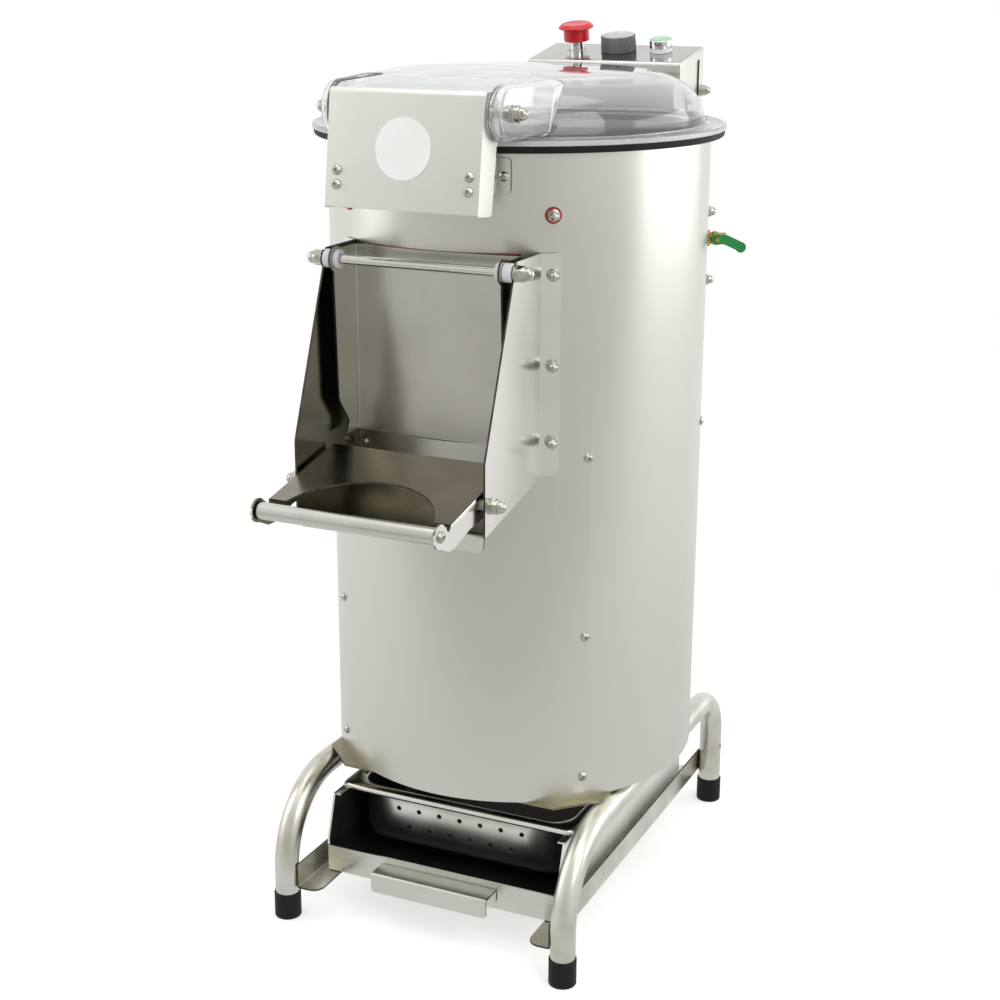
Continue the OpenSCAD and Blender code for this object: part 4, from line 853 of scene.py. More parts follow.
@dataclass
class SheetParts:
    """Folded sheet nodes, remade with round bends, softened edges and dark cut edges, partly burnt and partly
    painted shade.
    """

    thickness: float = 0.002
    slack: float = 0.0003
    bend: float = 0.003
    shortest_bend: float = 0.04
    flat_from: float = 0.003
    cut_turn: float = 1.25
    corner_turn: float = 1.2
    facing: float = 0.9
    nose_y: float = -0.31
    leg_x: float = 0.1553
    plate_y: float = 0.168
    chamfer_in: float = 0.026
    parts: tuple[Sheet, ...] = (
        # Cheeks: painted shade on their inner faces, their outer faces the pale lit copy
        Sheet("chute_cheeks", CHUTE_STEEL, False, 0.004, Faces.OUTSIDE, CHEEK_STEEL, 0.0985),
        # Chute floor: its top faces painted darker as shade
        Sheet("chute_floor", SHEET_STEEL, True, 0.006, Faces.TOP, FLOOR_STEEL),
        Sheet("discharge_door", DOOR_STEEL, True),
        # Tipping tray: plate painted brown-grey as shade and reflection, its outer faces the pale lit copy
        Sheet("chute_tray", TRAY_STEEL, True, 0.0, Faces.OUTSIDE, CHEEK_STEEL),
        Sheet("hinge_bracket", SHEET_STEEL, corner=0.005),
        Sheet("control_box", BOX_STEEL),
        Sheet("control_panel", BOX_STEEL, True, 0.0, Faces.TOP, PANEL_STEEL),
        Sheet("control_bracket", BOX_STEEL),
        Sheet("tray_rails", TUBE_STEEL, True),
        Sheet("cross_plates", PLATE_STEEL),
        Sheet("tray_handle", SHEET_STEEL, True, 0.004),
    )

    def build(self) -> None:
        """Remakes every part in the list."""
        for part in self.parts:
            self.remake(part)

    def narrow(self, face: Face) -> bool:
        """Tells whether a face is no wider than the sheet."""
        around = sum(e.calc_length() for e in face.edges)
        return 2 * face.calc_area() / around < 1.15 * self.thickness

    def is_cut(self, face: Face) -> bool:
        """Tells whether a face is a cut edge, and not a narrow step of a curved face."""
        return self.narrow(face) and any(
            turns(e, self.cut_turn) and not all(self.narrow(f) for f in e.link_faces)
            for e in face.edges
        )

    def chamfer(self, bm: Mesh) -> None:
        """Cuts the plates' outer corners off, next to the legs' bends."""
        for side in (-1, 1):
            for end in (-1, 1):
                corner = Vector((side * self.leg_x, AXIS_Y + end * self.plate_y, 0.0))
                out = Vector((side, end, 0.0)).normalized()
                split(bm, corner - out * self.chamfer_in, out, True)
        tidy(bm)

    def round_corners(self, bm: Mesh, part: Sheet) -> None:
        """Rounds the plates' corners: short edges between two cut faces."""
        corners = [
            e for e in bm.edges
            if turns(e, self.corner_turn) and e.is_convex
            and abs(e.calc_length() - self.thickness) < self.slack
            and all(f.material_index == CUT for f in e.link_faces)
            and abs(e.verts[0].co.x) > part.beyond
        ]
        bevel(bm, corners, part.corner, 4)

    def round_bends(self, bm: Mesh) -> None:
        """Rounds the bends, outside by the bend's radius and inside by what the sheet leaves."""
        for convex, width in ((True, self.bend), (False, self.bend - self.thickness)):
            folds = [
                e for e in bm.edges
                if turns(e, math.radians(30)) and e.is_convex == convex
                and e.calc_length() > self.shortest_bend
                and all(f.material_index == MAIN for f in e.link_faces)
            ]
            bevel(bm, folds, width, 3)

    def dress(self, bm: Mesh, part: Sheet) -> None:
        """Gives the faces that look the right way the second finish."""
        for face in bm.faces:
            middle = face.calc_center_median()
            sideways = face.normal.x * math.copysign(1.0, middle.x)
            around = face.normal.dot(Vector((middle.x, middle.y - AXIS_Y, 0.0)).normalized())
            looks = {Faces.OUTSIDE: max(sideways, around), Faces.TOP: face.normal.z, Faces.NONE: 0.0}
            chosen = face.material_index == MAIN and looks[part.faces] > self.facing
            on_flange = 0 < part.beyond < abs(middle.x) and around > self.facing
            if chosen or on_flange:
                face.material_index = SECOND

    def remake(self, part: Sheet) -> bpy.types.Object:
        """Copies a node, rounds its bends and gives its cut edges their finish.

        Args:
            part: The sheet part.

        Returns:
            The new object.
        """
        bm = node_copy(part.node)
        for face in bm.faces:
            at_nose = part.node == "chute_tray" and face.calc_center_median().y < self.nose_y
            face.material_index = CUT if self.is_cut(face) and not at_nose else MAIN
        if part.node == "cross_plates":
            self.chamfer(bm)
        if part.corner:
            self.round_corners(bm, part)
        if part.bent:
            self.round_bends(bm)
        if not any(turns(e, 0.01) and not turns(e, 0.3) for e in bm.edges):
            soften(bm, SHEET_EDGE, 1, 50.0)
        self.dress(bm, part)
        finishes = [part.finish, CUT_STEEL] + ([part.second] if part.second else [])
        return piece(bm, part.node + "_sheet", finishes, part.node, flat_from=self.flat_from)


@dataclass
class SmallParts:
    """Fasteners, bushings, rings and caps, remade with softened edges."""

    parts: tuple[tuple[str, Finish, float], ...] = (
        ("drum_screws", FASTENER_STEEL, 0.0002), ("acorn_nuts", FASTENER_STEEL, 0.0004),
        ("cover_screws", FASTENER_STEEL, 0.0002), ("rod_nuts", FASTENER_STEEL, 0.0005),
        ("pivot_bolts", FASTENER_STEEL, 0.0004), ("panel_bolts", FASTENER_STEEL, 0.0004),
        ("lid_hinge_bolts", FASTENER_STEEL, 0.0004), ("bar_screws", FASTENER_STEEL, 0.0003),
        ("bar_rings", BLACK_RUBBER, 0.0004), ("rod_bushings", NYLON, 0.0006),
        ("foot_caps", BLACK_RUBBER, 0.001),
    )
    washer_z: float = 0.7356
    washer_bore: float = 0.0042
    washer_r: float = 0.0078
    washer_t: float = 0.0012
    nut_reach: float = 0.008

    def build(self) -> None:
        """Remakes every part in the list."""
        for node, finish, width in self.parts:
            bm = node_copy(node)
            soften(bm, width, 1, 40.0)
            piece(bm, node + "_soft", (finish,), node, smooth=26.0)
        self.washers()

    def washers(self) -> None:
        """Puts a red washer under each nut near the drum's top edge, at the front."""
        nuts = node_copy("acorn_nuts")
        rings = []
        for side in (-1, 1):
            near = [
                v.co for v in nuts.verts
                if abs(v.co.z - self.washer_z) < self.nut_reach and v.co.x * side > 0 and v.co.y < 0
            ]
            if near:
                middle = sum(near, Vector()) / len(near)
                out = Vector((middle.x, middle.y - AXIS_Y, 0.0)).normalized()
                washer = ring(self.washer_bore, self.washer_r, 0.0, self.washer_t, {2: 0.0004}, 32)
                foot = Vector((0.0, AXIS_Y, self.washer_z)) + out * DRUM_R
                lean = out.to_track_quat("Z", "Y").to_matrix().to_4x4()
                rings.append(moved(washer, Matrix.Translation(foot) @ lean))
        nuts.free()
        piece(joined(rings), "red_stud_washers", (RED_RUBBER,), body="base", slot="red_plastic")


@dataclass
class WindowTrim:
    """Red strip along the top edge of the drum's window."""

    half_w: float = 0.078
    top: float = 0.701
    strip_h: float = 0.0014
    inner_r: float = 0.1886
    outer_r: float = 0.1903

    def build(self) -> None:
        """Builds the strip as a piece of a ring."""
        bm = ring(self.inner_r, self.outer_r, 0.0, self.strip_h, {}, 128)
        moved(bm, Matrix.Translation((0.0, AXIS_Y, self.top - self.strip_h)))
        for x, y in ((1, 0), (-1, 0), (0, 1)):
            split(bm, (x * self.half_w, 0.0, 0.0), (x, y, 0), True)
        tidy(bm)
        piece(bm, "window_red_strip", (RED_RUBBER,), body="base", slot="red_plastic")


@dataclass
class Lid:
    """Clear lid: flange with a rolled lip, dome, two hollow hinge ears, and its seal."""

    finishes: tuple[Finish, ...] = (CLEAR, LIP_HIGHLIGHT, CLOUDY)
    lift: float = 0.0066
    steps: int = 128
    # Flange, with a raised rim and a lip that hangs from it
    flange_r: float = 0.2047
    flange_t: float = 0.0035
    lip_t: float = 0.0024
    lip_drop: float = 0.0018
    rim_w: float = 0.004
    rim_slope: float = 0.0025
    rim_step: float = 0.0008
    highlight_w: float = 0.0015
    # Dome
    dome_r: float = 0.1825
    wall: float = 0.003
    height: float = 0.053
    arc_r: float = 0.0645
    arc_steps: int = 14
    shoulder: float = 0.0045
    foot_w: float = 0.0035
    crown: float = 0.002
    # Ears, from the hinge's axis backwards
    ear_x: float = 0.077
    ear_w: float = 0.012
    ear_r: float = 0.024
    ear_wall: float = 0.0018
    ear_low: float = 0.0045
    ear_foot: tuple[float, float] = (0.016, 0.054)
    ear_back: float = 0.066
    ear_tip: tuple[float, float] = (0.074, 0.026)
    ear_edge: float = 0.005
    ear_slices: int = 11
    flare: float = 0.017
    flare_y: float = 0.076
    flare_start: float = 0.006
    hinge_out: float = 0.024
    hinge_up: float = 0.0356
    # Seal
    seal_in: float = 0.002
    seal_low: float = 0.0001
    seal_gap: float = 0.0002
    bulge: float = 0.0012
    bulb_drop: float = 0.0018
    bulb_r: float = 0.0022
    bulb_gap: float = 0.0016

    def dome_line(self, inset: float) -> list[tuple[float, float]]:
        """Gives the dome's line from its foot to the axis, as (radius, height)."""
        base = self.flange_t + self.shoulder
        inner = self.dome_r - self.arc_r
        top = self.height - inset
        arc = [
            (inner + (self.arc_r - inset) * math.cos(a), base + (top - base) * math.sin(a))
            for a in (math.pi / 2 * i / self.arc_steps for i in range(self.arc_steps + 1))
        ]
        return arc + [(0.6 * inner, top + 0.75 * self.crown), (0.0, top + self.crown)]

    def shell(self) -> Mesh:
        """Turns the flange and the dome and marks their finishes."""
        edge, lip, top = self.flange_r, self.flange_r - self.lip_t, self.flange_t
        flange = [
            (self.dome_r - self.wall, 0.0), (lip, 0.0), (lip, -self.lip_drop),
            (edge, -self.lip_drop), (edge, top), (edge - self.rim_w, top),
            (edge - self.rim_w - self.rim_slope, top - self.rim_step),
            (self.dome_r + self.foot_w, top - self.rim_step),
        ]
        inside = list(reversed(self.dome_line(self.wall)))
        rounding = {1: 0.0008, 2: 0.0006, 3: 0.0009, 4: 0.0014, 7: 0.003}
        bm = turned(flange + self.dome_line(0.0) + inside, rounding, self.steps)
        moved(bm, Matrix.Translation((0.0, AXIS_Y, DRUM_RIM + self.lift)))
        for face in bm.faces:
            middle = face.calc_center_median()
            out = math.hypot(middle.x, middle.y - AXIS_Y)
            # The lip's outer face gets the painted highlight
            if out > edge - self.highlight_w and abs(face.normal.z) < 0.5:
                face.material_index = self.finishes.index(LIP_HIGHLIGHT)
            elif out > self.dome_r + self.wall:
                face.material_index = self.finishes.index(CLOUDY)
        return bm

    def ear(self, side: int) -> Mesh:
        """Makes one hollow ear, open towards the cover.

        Args:
            side: 1 for the right ear, -1 for the left one.

        Returns:
            The ear's shell.
        """
        axis = AXIS_Y - DRUM_R - self.hinge_out
        top = DRUM_RIM + self.hinge_up
        low = DRUM_RIM + self.lift + self.ear_low
        r = self.ear_r
        outline = [
            (axis - r, top + r), (axis - r, top - r), (axis + self.ear_foot[0], low),
            (axis + self.ear_foot[1], low), (axis + self.ear_back, top),
            (axis + self.ear_tip[0], top + self.ear_tip[1]),
        ]
        rounding = {0: 0.98 * r, 1: 0.9 * r, 2: 0.012, 4: 0.02}
        bm = prism(outline, self.ear_x, self.ear_x + self.ear_w, rounding)
        gone = [f for f in bm.faces if f.normal.x < -0.9 or f.normal.y > 0.8]
        bmesh.ops.delete(bm, geom=gone, context="FACES")
        outer = [e for e in bm.edges if e.is_manifold and min(v.co.x for v in e.verts) > self.ear_x + MM]
        bevel(bm, outer, self.ear_edge, 6)
        for step in range(self.ear_slices):
            split(bm, (0.0, axis + self.flare_y * (step + 1) / self.ear_slices, 0.0), (0.0, 1.0, 0.0))
        for vert in bm.verts:
            back = max(0.0, vert.co.y - axis + self.flare_start) / self.flare_y
            vert.co.x += self.flare * back ** 1.7 * (vert.co.x - self.ear_x) / self.ear_w
        if side < 0:
            bmesh.ops.scale(bm, vec=(-1.0, 1.0, 1.0), verts=bm.verts[:])
        tidy(bm)
        return bm

    def seal(self) -> Mesh:
        """Turns the seal: a ring under the flange and a bulb that hangs outside the drum."""
        top, lip = self.lift, self.flange_r - self.lip_t
        inner, bulb = self.dome_r - self.seal_in, DRUM_R + self.bulb_gap
        outline = [
            (inner, self.seal_low), (inner, top), (lip - self.seal_gap, top),
            (lip - self.seal_gap, top - self.lip_drop),
            (lip + self.bulge, top - self.lip_drop - 0.0003),
            (lip + 2 * self.seal_gap, -self.bulb_drop), (bulb, -self.bulb_drop), (bulb, self.seal_low),
        ]
        bm = turned(outline, {4: 0.0008, 5: self.bulb_r, 6: self.bulb_r}, self.steps)
        return moved(bm, Matrix.Translation((0.0, AXIS_Y, DRUM_RIM)))

    def build(self) -> None:
        """Builds the lid's shell, its two ears and its seal."""
        piece(self.shell(), "lid_dome", self.finishes, "lid", smooth=40.0)
        for side, word in ((1, "right"), (-1, "left")):
            ear = piece(self.ear(side), f"lid_ear_{word}", (EAR_CLEAR,), like="lid", smooth=60.0)
            wall = ear.modifiers.new("wall", "SOLIDIFY")
            wall.thickness = self.ear_wall
            wall.offset = -1.0
        piece(self.seal(), "lid_seal_bulb", (BLACK_RUBBER,), "lid_seal", smooth=50.0)


@dataclass
class HingeCover:
    """Bent cover over the lid's hinge, with rounded folds."""

    half_w: float = 0.076
    sheet: float = 0.002
    top: float = 0.0551
    bottom: float = -0.0497
    out_top: float = 0.0506
    out_bottom: float = 0.0650
    roof: float = 0.014
    return_w: float = 0.0284
    return_drop: float = 0.0027
    side_line: Outline = ((0.027, 0.006), (0.013, 0.030), (0.020, 0.048))
    fold: float = 0.003

    def build(self) -> None:
        """Builds the cover as one folded sheet."""
        drum = AXIS_Y - DRUM_R
        front, foot = drum - self.out_top, drum - self.out_bottom
        outline = [
            (front, self.top), (foot, self.bottom),
            (foot + self.return_w, self.bottom - self.return_drop),
            *((drum - out, up) for out, up in self.side_line), (front + self.roof, self.top - 0.0005),
        ]
        bm = prism(outline, -self.half_w, self.half_w, {0: 0.0045, 1: 0.002, 2: 0.004, 4: 0.010})
        folds = []
        for edge in bm.edges:
            across = [f for f in edge.link_faces if abs(f.normal.x) > 0.9]
            along = [f for f in edge.link_faces if abs(f.normal.x) < 0.5]
            shown = [f for f in along if f.normal.y < -0.3 or f.normal.z > 0.6]
            if across and shown and max(v.co.y for v in edge.verts) < front + self.roof + 0.0005:
                folds.append(edge)
        bevel(bm, folds, self.fold, 4)
        gone = [
            f for f in bm.faces
            if abs(f.normal.x) < 0.3 and (f.normal.z < -0.35 or f.normal.y > 0.2)
            and f.calc_center_median().z < self.top - MM
        ]
        bmesh.ops.delete(bm, geom=gone, context="FACES")
        bmesh.ops.solidify(bm, geom=bm.faces[:], thickness=self.sheet)
        tidy(bm)
        moved(bm, Matrix.Translation((0.0, 0.0, DRUM_RIM)))
        piece(bm, "hinge_cover_sheet", (COVER_STEEL,), "hinge_cover", smooth=40.0)


@dataclass
class Strainer:
    """Pressed pan with a rolled rim, two rows of holes in its walls and holes in its floor."""

    finishes: tuple[Finish, ...] = (PAN_STEEL, RIM_STEEL, PAN_INSIDE)
    width: float = 0.265
    length: float = 0.325
    depth: float = 0.065
    sheet: float = 0.001
    corner: float = 0.030
    foot_r: float = 0.012
    rim_w: float = 0.0125
    rim_corner: float = 0.008
    neck_r: float = 0.004
    roll_r: float = 0.003
    hole_r: float = 0.0027
    plug_l: float = 0.012
    floor_pitch: float = 0.039
    wall_pitch: float = 0.0236
    # Holes in the front and back walls, then in the side walls
    wall_holes: tuple[int, int] = (7, 9)
    # Each row of the walls: how deep it lies and how many holes fewer it has
    wall_rows: tuple[tuple[float, int], ...] = ((0.0222, 0), (0.042, 1))

    def inner(self) -> tuple[float, float]:
        """Gives the width and length between the walls, without the rim."""
        return self.width - 2 * self.rim_w, self.length - 2 * self.rim_w

    def corner_r(self, out: float) -> float:
        """Gives the corners' radius at a distance outside the body."""
        if out <= 0.0:
            return self.corner + out
        share = min(1.0, out / (self.rim_w - self.roll_r))
        return self.corner + (self.rim_corner - self.corner) * share

    def corner_centre(self, corner: Vector, out: float) -> Vector:
        """Gives the middle of a corner's arc at a distance outside the body.

        Args:
            corner: Which corner, as two signs.
            out: The distance.

        Returns:
            The arc's middle.
        """
        half = Vector((self.width / 2, self.length / 2)) - Vector((self.rim_w, self.rim_w))
        reach = out - self.corner_r(out)
        return Vector((corner.x * (half.x + reach), corner.y * (half.y + reach)))

    def spread(self, verts: Iterable[Vert], old: float, new: float) -> None:
        """Moves a ring of corners from one distance outside the pan's body to another.

        Args:
            verts: The ring.
            old: The distance it has; below 0 is inside the body.
            new: The distance it gets.
        """
        for vert in verts:
            corner = Vector((math.copysign(1.0, vert.co.x), math.copysign(1.0, vert.co.y)))
            way = (vert.co.xy - self.corner_centre(corner, old)).normalized()
            vert.co.xy = self.corner_centre(corner, new) + way * self.corner_r(new)

    def line(self) -> list[tuple[float, float]]:
        """Gives the wall's line from the floor to the lip, as (distance outside, height)."""
        foot, neck, roll, top = self.foot_r, self.neck_r, self.roll_r, self.depth
        edge = self.rim_w - roll
        bend = (math.radians(18 * i) for i in range(1, 6))
        lip = (math.radians(36 * i) for i in range(1, 6))
        return [
            (-foot, 0.0),
            *((-foot + foot * math.sin(a), foot - foot * math.cos(a)) for a in bend),
            (0.0, top - neck), (0.3 * neck, top - 0.3 * neck), (neck, top), (edge, top),
            *((edge + roll * math.sin(a), top - roll + roll * math.cos(a)) for a in lip),
        ]

    def shell(self) -> Mesh:
        """Draws the pan's outer skin from its floor to its rolled lip."""
        bm = bmesh.new()
        bmesh.ops.create_grid(bm, x_segments=1, y_segments=1, size=0.5)
        bmesh.ops.scale(bm, vec=(*self.inner(), 1.0), verts=bm.verts[:])
        bevel(bm, bm.verts[:], self.corner, 8, "VERTICES")
        line = self.line()
        self.spread(bm.verts, 0.0, line[0][0])
        rim = [e for e in bm.edges if e.is_boundary]
        for (old, _), (new, height) in zip(line, line[1:]):
            grown = bmesh.ops.extrude_edge_only(bm, edges=rim)
            verts, rim = picked(grown, Vert), picked(grown, Edge)
            self.spread(verts, old, new)
            for vert in verts:
                vert.co.z = height
        for face in bm.faces:
            if face.calc_center_median().z > self.depth - self.neck_r:
                face.material_index = self.finishes.index(RIM_STEEL)
        bmesh.ops.recalc_face_normals(bm, faces=bm.faces[:])
        floor = [f for f in bm.faces if f.calc_center_median().z < MM]
        if sum(f.normal.z * f.calc_area() for f in floor) > 0:
            bmesh.ops.reverse_faces(bm, faces=bm.faces[:])
        return bm

    def holes(self) -> Iterable[Matrix]:
        """Gives the place and turn of each hole, on the floor and in the four walls."""
        sizes, pitch = self.inner(), self.floor_pitch
        nx, ny = (int((size - 2 * self.corner) / pitch) for size in sizes)
        for j in range(ny + 1):
            for i in range(nx + 1):
                yield Matrix.Translation(((i - nx / 2) * pitch, (j - ny / 2) * pitch, 0.0))
        for drop, fewer in self.wall_rows:
            for side in (-1, 1):
                for axis, name in enumerate("XY"):
                    count = self.wall_holes[axis] - fewer
                    for k in range(count):
                        spot = Vector((0.0, 0.0, self.depth - drop))
                        spot[axis] = (k - (count - 1) / 2) * self.wall_pitch
                        spot[1 - axis] = side * sizes[1 - axis] / 2
                        yield Matrix.Translation(spot) @ Matrix.Rotation(math.pi / 2, 4, name)

    def plug(self, place: Matrix) -> Mesh:
        """Makes the short rod that cuts one hole."""
        bm = bmesh.new()
        bmesh.ops.create_cone(
            bm, cap_ends=True, segments=14, radius1=self.hole_r, radius2=self.hole_r,
            depth=self.plug_l, matrix=place,
        )
        return bm

    def build(self) -> None:
        """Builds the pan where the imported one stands."""
        bm = self.shell()
        grown = bmesh.ops.solidify(bm, geom=bm.faces[:], thickness=self.sheet)
        # Inner faces get the dark finish: painted shade
        for face in picked(grown, Face):
            if face.calc_center_median().z < self.depth - 2 * self.roll_r:
                face.material_index = self.finishes.index(PAN_INSIDE)
        tidy(bm)
        obj = piece(bm, "strainer_pan_pressed", self.finishes, "strainer_pan", smooth=50.0)
        cut(obj, joined(self.plug(place) for place in self.holes()))
        low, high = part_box("strainer_pan")
        place = ((low.x + high.x) / 2, (low.y + high.y) / 2, high.z - self.depth)
        obj.data.transform(Matrix.Translation(place))
        obj.data.shade_smooth()
        obj.data.set_sharp_from_angle(angle=math.radians(45))


@dataclass
class PeelTray:
    """Folded tray painted almost black inside as shade, with sloped side fronts and small ledges on its
    sides.
    """

    finishes: tuple[Finish, ...] = (SHEET_STEEL, TRAY_SHADE, TRAY_SIDE)
    sheet: float = 0.002
    lip: float = 0.0297
    slope: float = 0.017
    ledge: float = 0.008
    fold: float = 0.0025

    def build(self) -> None:
        """Builds the tray, its inside painted dark as shade, and its ledges."""
        low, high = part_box("peel_tray")
        shoulder = low.y + self.slope
        outline = [
            (low.y, low.z), (low.y, low.z + self.lip), (shoulder, high.z), (high.y, high.z), (high.y, low.z),
        ]
        bm = prism(outline, low.x, high.x)
        gone = [f for f in bm.faces if f.normal.z > 0.1 or (f.normal.y < -0.1 and f.normal.z > 0.01)]
        bmesh.ops.delete(bm, geom=gone, context="FACES")
        bevel(bm, [e for e in bm.edges if turns(e, 1.0)], self.fold, 3)
        # Outer sides get the paler copy of the sheet: painted light
        for face in bm.faces:
            if abs(face.normal.x) > 0.9:
                face.material_index = self.finishes.index(TRAY_SIDE)
        grown = bmesh.ops.solidify(bm, geom=bm.faces[:], thickness=self.sheet)
        # Inner skin: painted shade
        for face in picked(grown, Face):
            face.material_index = self.finishes.index(TRAY_SHADE)
        bmesh.ops.remove_doubles(bm, verts=bm.verts[:], dist=WELD)
        piece(bm, "peel_tray_folded", self.finishes, "peel_tray", smooth=40.0)
        for side, word in ((-1, "left"), (1, "right")):
            x = side * (high.x - self.ledge / 2)
            size = (self.ledge, high.y - shoulder, self.sheet)
            middle = (x, (shoulder + high.y) / 2, high.z - self.sheet / 2)
            ledge = block(size, middle, SHEET_EDGE)
            piece(ledge, f"tray_ledge_{word}", (SHEET_STEEL,), like="peel_tray")


@dataclass
class Controls:
    """Stop button, timer knob and start button on the sloped panel."""

    pitch: float = 0.050
    reach: float = 0.048
    near: float = 0.031
    rise: float = 0.0566
    tilt: float = 10.2
    gap: float = 0.0003
    # Stop button
    neck_r: float = 0.0142
    neck_top: float = 0.0228
    head_r: float = 0.0195
    # From the head's edge to its middle: how far inside head_r and above neck_top
    head_line: Outline = (
        (0.0, 0.0017), (0.0, 0.0031), (0.004, 0.0067), (0.0065, 0.0064), (0.0195, 0.0055),
    )
    collar_r: float = 0.0085
    collar_bore: float = 0.0063
    collar_h: float = 0.0102
    socket: float = 0.0075
    socket_gap: float = 0.0006
    # Timer knob, with its cap and the mark on it
    knob_r: float = 0.0197
    knob_taper: float = 0.0006
    knob_h: float = 0.017
    ribs: int = 38
    rib_depth: float = 0.0012
    cap_in: float = 0.0021
    cap_t: float = 0.001
    cap_up: float = 0.0004
    mark: tuple[float, float, float] = (0.0012, 0.009, 0.0003)
    mark_y: float = 0.0105
    # Start button
    start_r: float = 0.0114
    start_low: float = 0.003
    start_up: float = 0.001
    bezel_r: float = 0.0126
    bezel_h: float = 0.014
    boot_h: float = 0.005

    def place(self, index: int) -> Matrix:
        """Gives the place of a control: -1 stop, 0 timer, 1 start."""
        tilt = math.radians(self.tilt)
        y = AXIS_Y + DRUM_R + self.near + self.reach
        z = DRUM_RIM + self.rise + self.reach * math.tan(tilt)
        return Matrix.Translation((index * self.pitch, y, z)) @ Matrix.Rotation(tilt, 4, "X")

    def stop(self) -> None:
        """Builds the red mushroom head, with a socket that goes down over its collar."""
        low, neck, up = self.collar_h, self.neck_r, self.neck_top
        hole = self.collar_r + self.socket_gap
        head = [
            (0.0, low + self.socket), (hole, low + self.socket), (hole, low), (neck, low),
            (neck, up - 0.0005), *((self.head_r - less, up + more) for less, more in self.head_line),
        ]
        bm = moved(turned(head, {3: 0.0008, 4: 0.0006, 5: 0.0006, 6: 0.0006, 7: 0.0016}), self.place(-1))
        piece(bm, "stop_button_head", (RED_PLASTIC,), "estop_button", smooth=50.0)
        bm = ring(self.collar_bore, self.collar_r, 0.0, low - self.gap, {2: 0.0005})
        piece(moved(bm, self.place(-1)), "stop_button_collar", (CHROME,), "button_collars")

    def knob(self) -> Mesh:
        """Makes the ribbed knob."""
        bm = bmesh.new()
        bmesh.ops.create_cone(
            bm, cap_ends=True, segments=self.ribs * 4, radius1=self.knob_r,
            radius2=self.knob_r - self.knob_taper, depth=self.knob_h,
        )
        lift = self.knob_h / 2 + self.gap
        bmesh.ops.translate(bm, verts=bm.verts[:], vec=(0.0, 0.0, lift))
        for vert in bm.verts:
            turn = math.atan2(vert.co.y, vert.co.x)
            dip = self.rib_depth * (0.5 - 0.5 * math.cos(turn * self.ribs))
            vert.co.xy *= (self.knob_r - 0.0001 - dip) / self.knob_r
        bevel(bm, [e for e in bm.edges if turns(e, 1.0)], 0.0005, 2)
        return bm

    def timer(self) -> None:
        """Builds the ribbed knob, its paler cap and the mark on the cap."""
        place = self.place(0)
        piece(moved(self.knob(), place), "timer_knob_ribbed", (GREY_PLASTIC,), "timer_knob", smooth=40.0)
        top = self.knob_h + self.gap + self.cap_up
        cap = ring(0.0, self.knob_r - self.cap_in, top - self.cap_t, top, {2: 0.0003})
        piece(moved(cap, place), "timer_knob_cap", (KNOB_TOP,), like="timer_knob")
        mark = block(self.mark, (0.0, self.mark_y, top + 0.00005), 0.0001)
        piece(moved(mark, place), "timer_knob_mark", (BADGE,), like="timer_knob")

    def start(self) -> None:
        """Builds the start button's chromed bezel, its boot and its green cap."""
        place = self.place(1)
        outer, r, top, foot = self.bezel_r, self.start_r, self.bezel_h, self.boot_h
        inner = r + self.gap
        bezel = ring(inner, outer, foot, top, {1: 0.0006, 2: 0.0009, 3: 0.0004})
        piece(moved(bezel, place), "start_button_bezel", (CHROME,), like="button_collars")
        boot = turned([(inner, 0.0), (outer, 0.0), (outer - 0.0004, foot), (inner, foot)], {1: 0.0008})
        piece(moved(boot, place), "start_button_boot", (BOOT,), like="button_collars")
        low, up = self.start_low, top + self.start_up
        cap = turned([(0.0, low), (r, low), (r, up), (0.0, up + 0.0006)], {2: 0.0012})
        piece(moved(cap, place), "start_button_cap", (GREEN_CAP,), "start_button", smooth=50.0)

    def build(self) -> None:
        """Builds the three controls."""
        self.stop()
        self.timer()
        self.start()


@dataclass
class NodeDress:
    """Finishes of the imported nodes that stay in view."""

    special: dict[str, Finish] = field(default_factory=lambda: {
        "tray_bar": BAR_STEEL, "hinge_rod": BRIGHT_STEEL,
        "door_gasket": BLACK_RUBBER, "switch_bodies": SWITCH_PLASTIC,
    })

    def build(self) -> None:
        """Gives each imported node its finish."""
        for name, obj in frame["nodes"].items():
            finish = self.special.get(name) or SLOT_FINISH[SLOTS[name]]
            obj.data.materials.clear()
            obj.data.materials.append(material_of(finish))
            LOG.info("%s: %s", name, finish.name)


# -------------------------------------------------------------------- studio


@dataclass(frozen=True)
class Lamp:
    """A soft rectangular lamp: its name, place, aim, width and height, and power in watts."""

    name: str
    place: tuple[float, float, float]
    aim: tuple[float, float, float]
    size: tuple[float, float]
    watts: float

    def build(self) -> None:
        """Hangs the lamp."""
        data = bpy.data.lights.new(self.name, "AREA")
        data.shape = "RECTANGLE"
        data.size, data.size_y = self.size
        data.energy = self.watts
        obj = bpy.data.objects.new(self.name, data)
        turn = (Vector(self.aim) - Vector(self.place)).to_track_quat("-Z", "Y")
        obj.matrix_world = Matrix.Translation(self.place) @ turn.to_matrix().to_4x4()
        bpy.context.scene.collection.objects.link(obj)


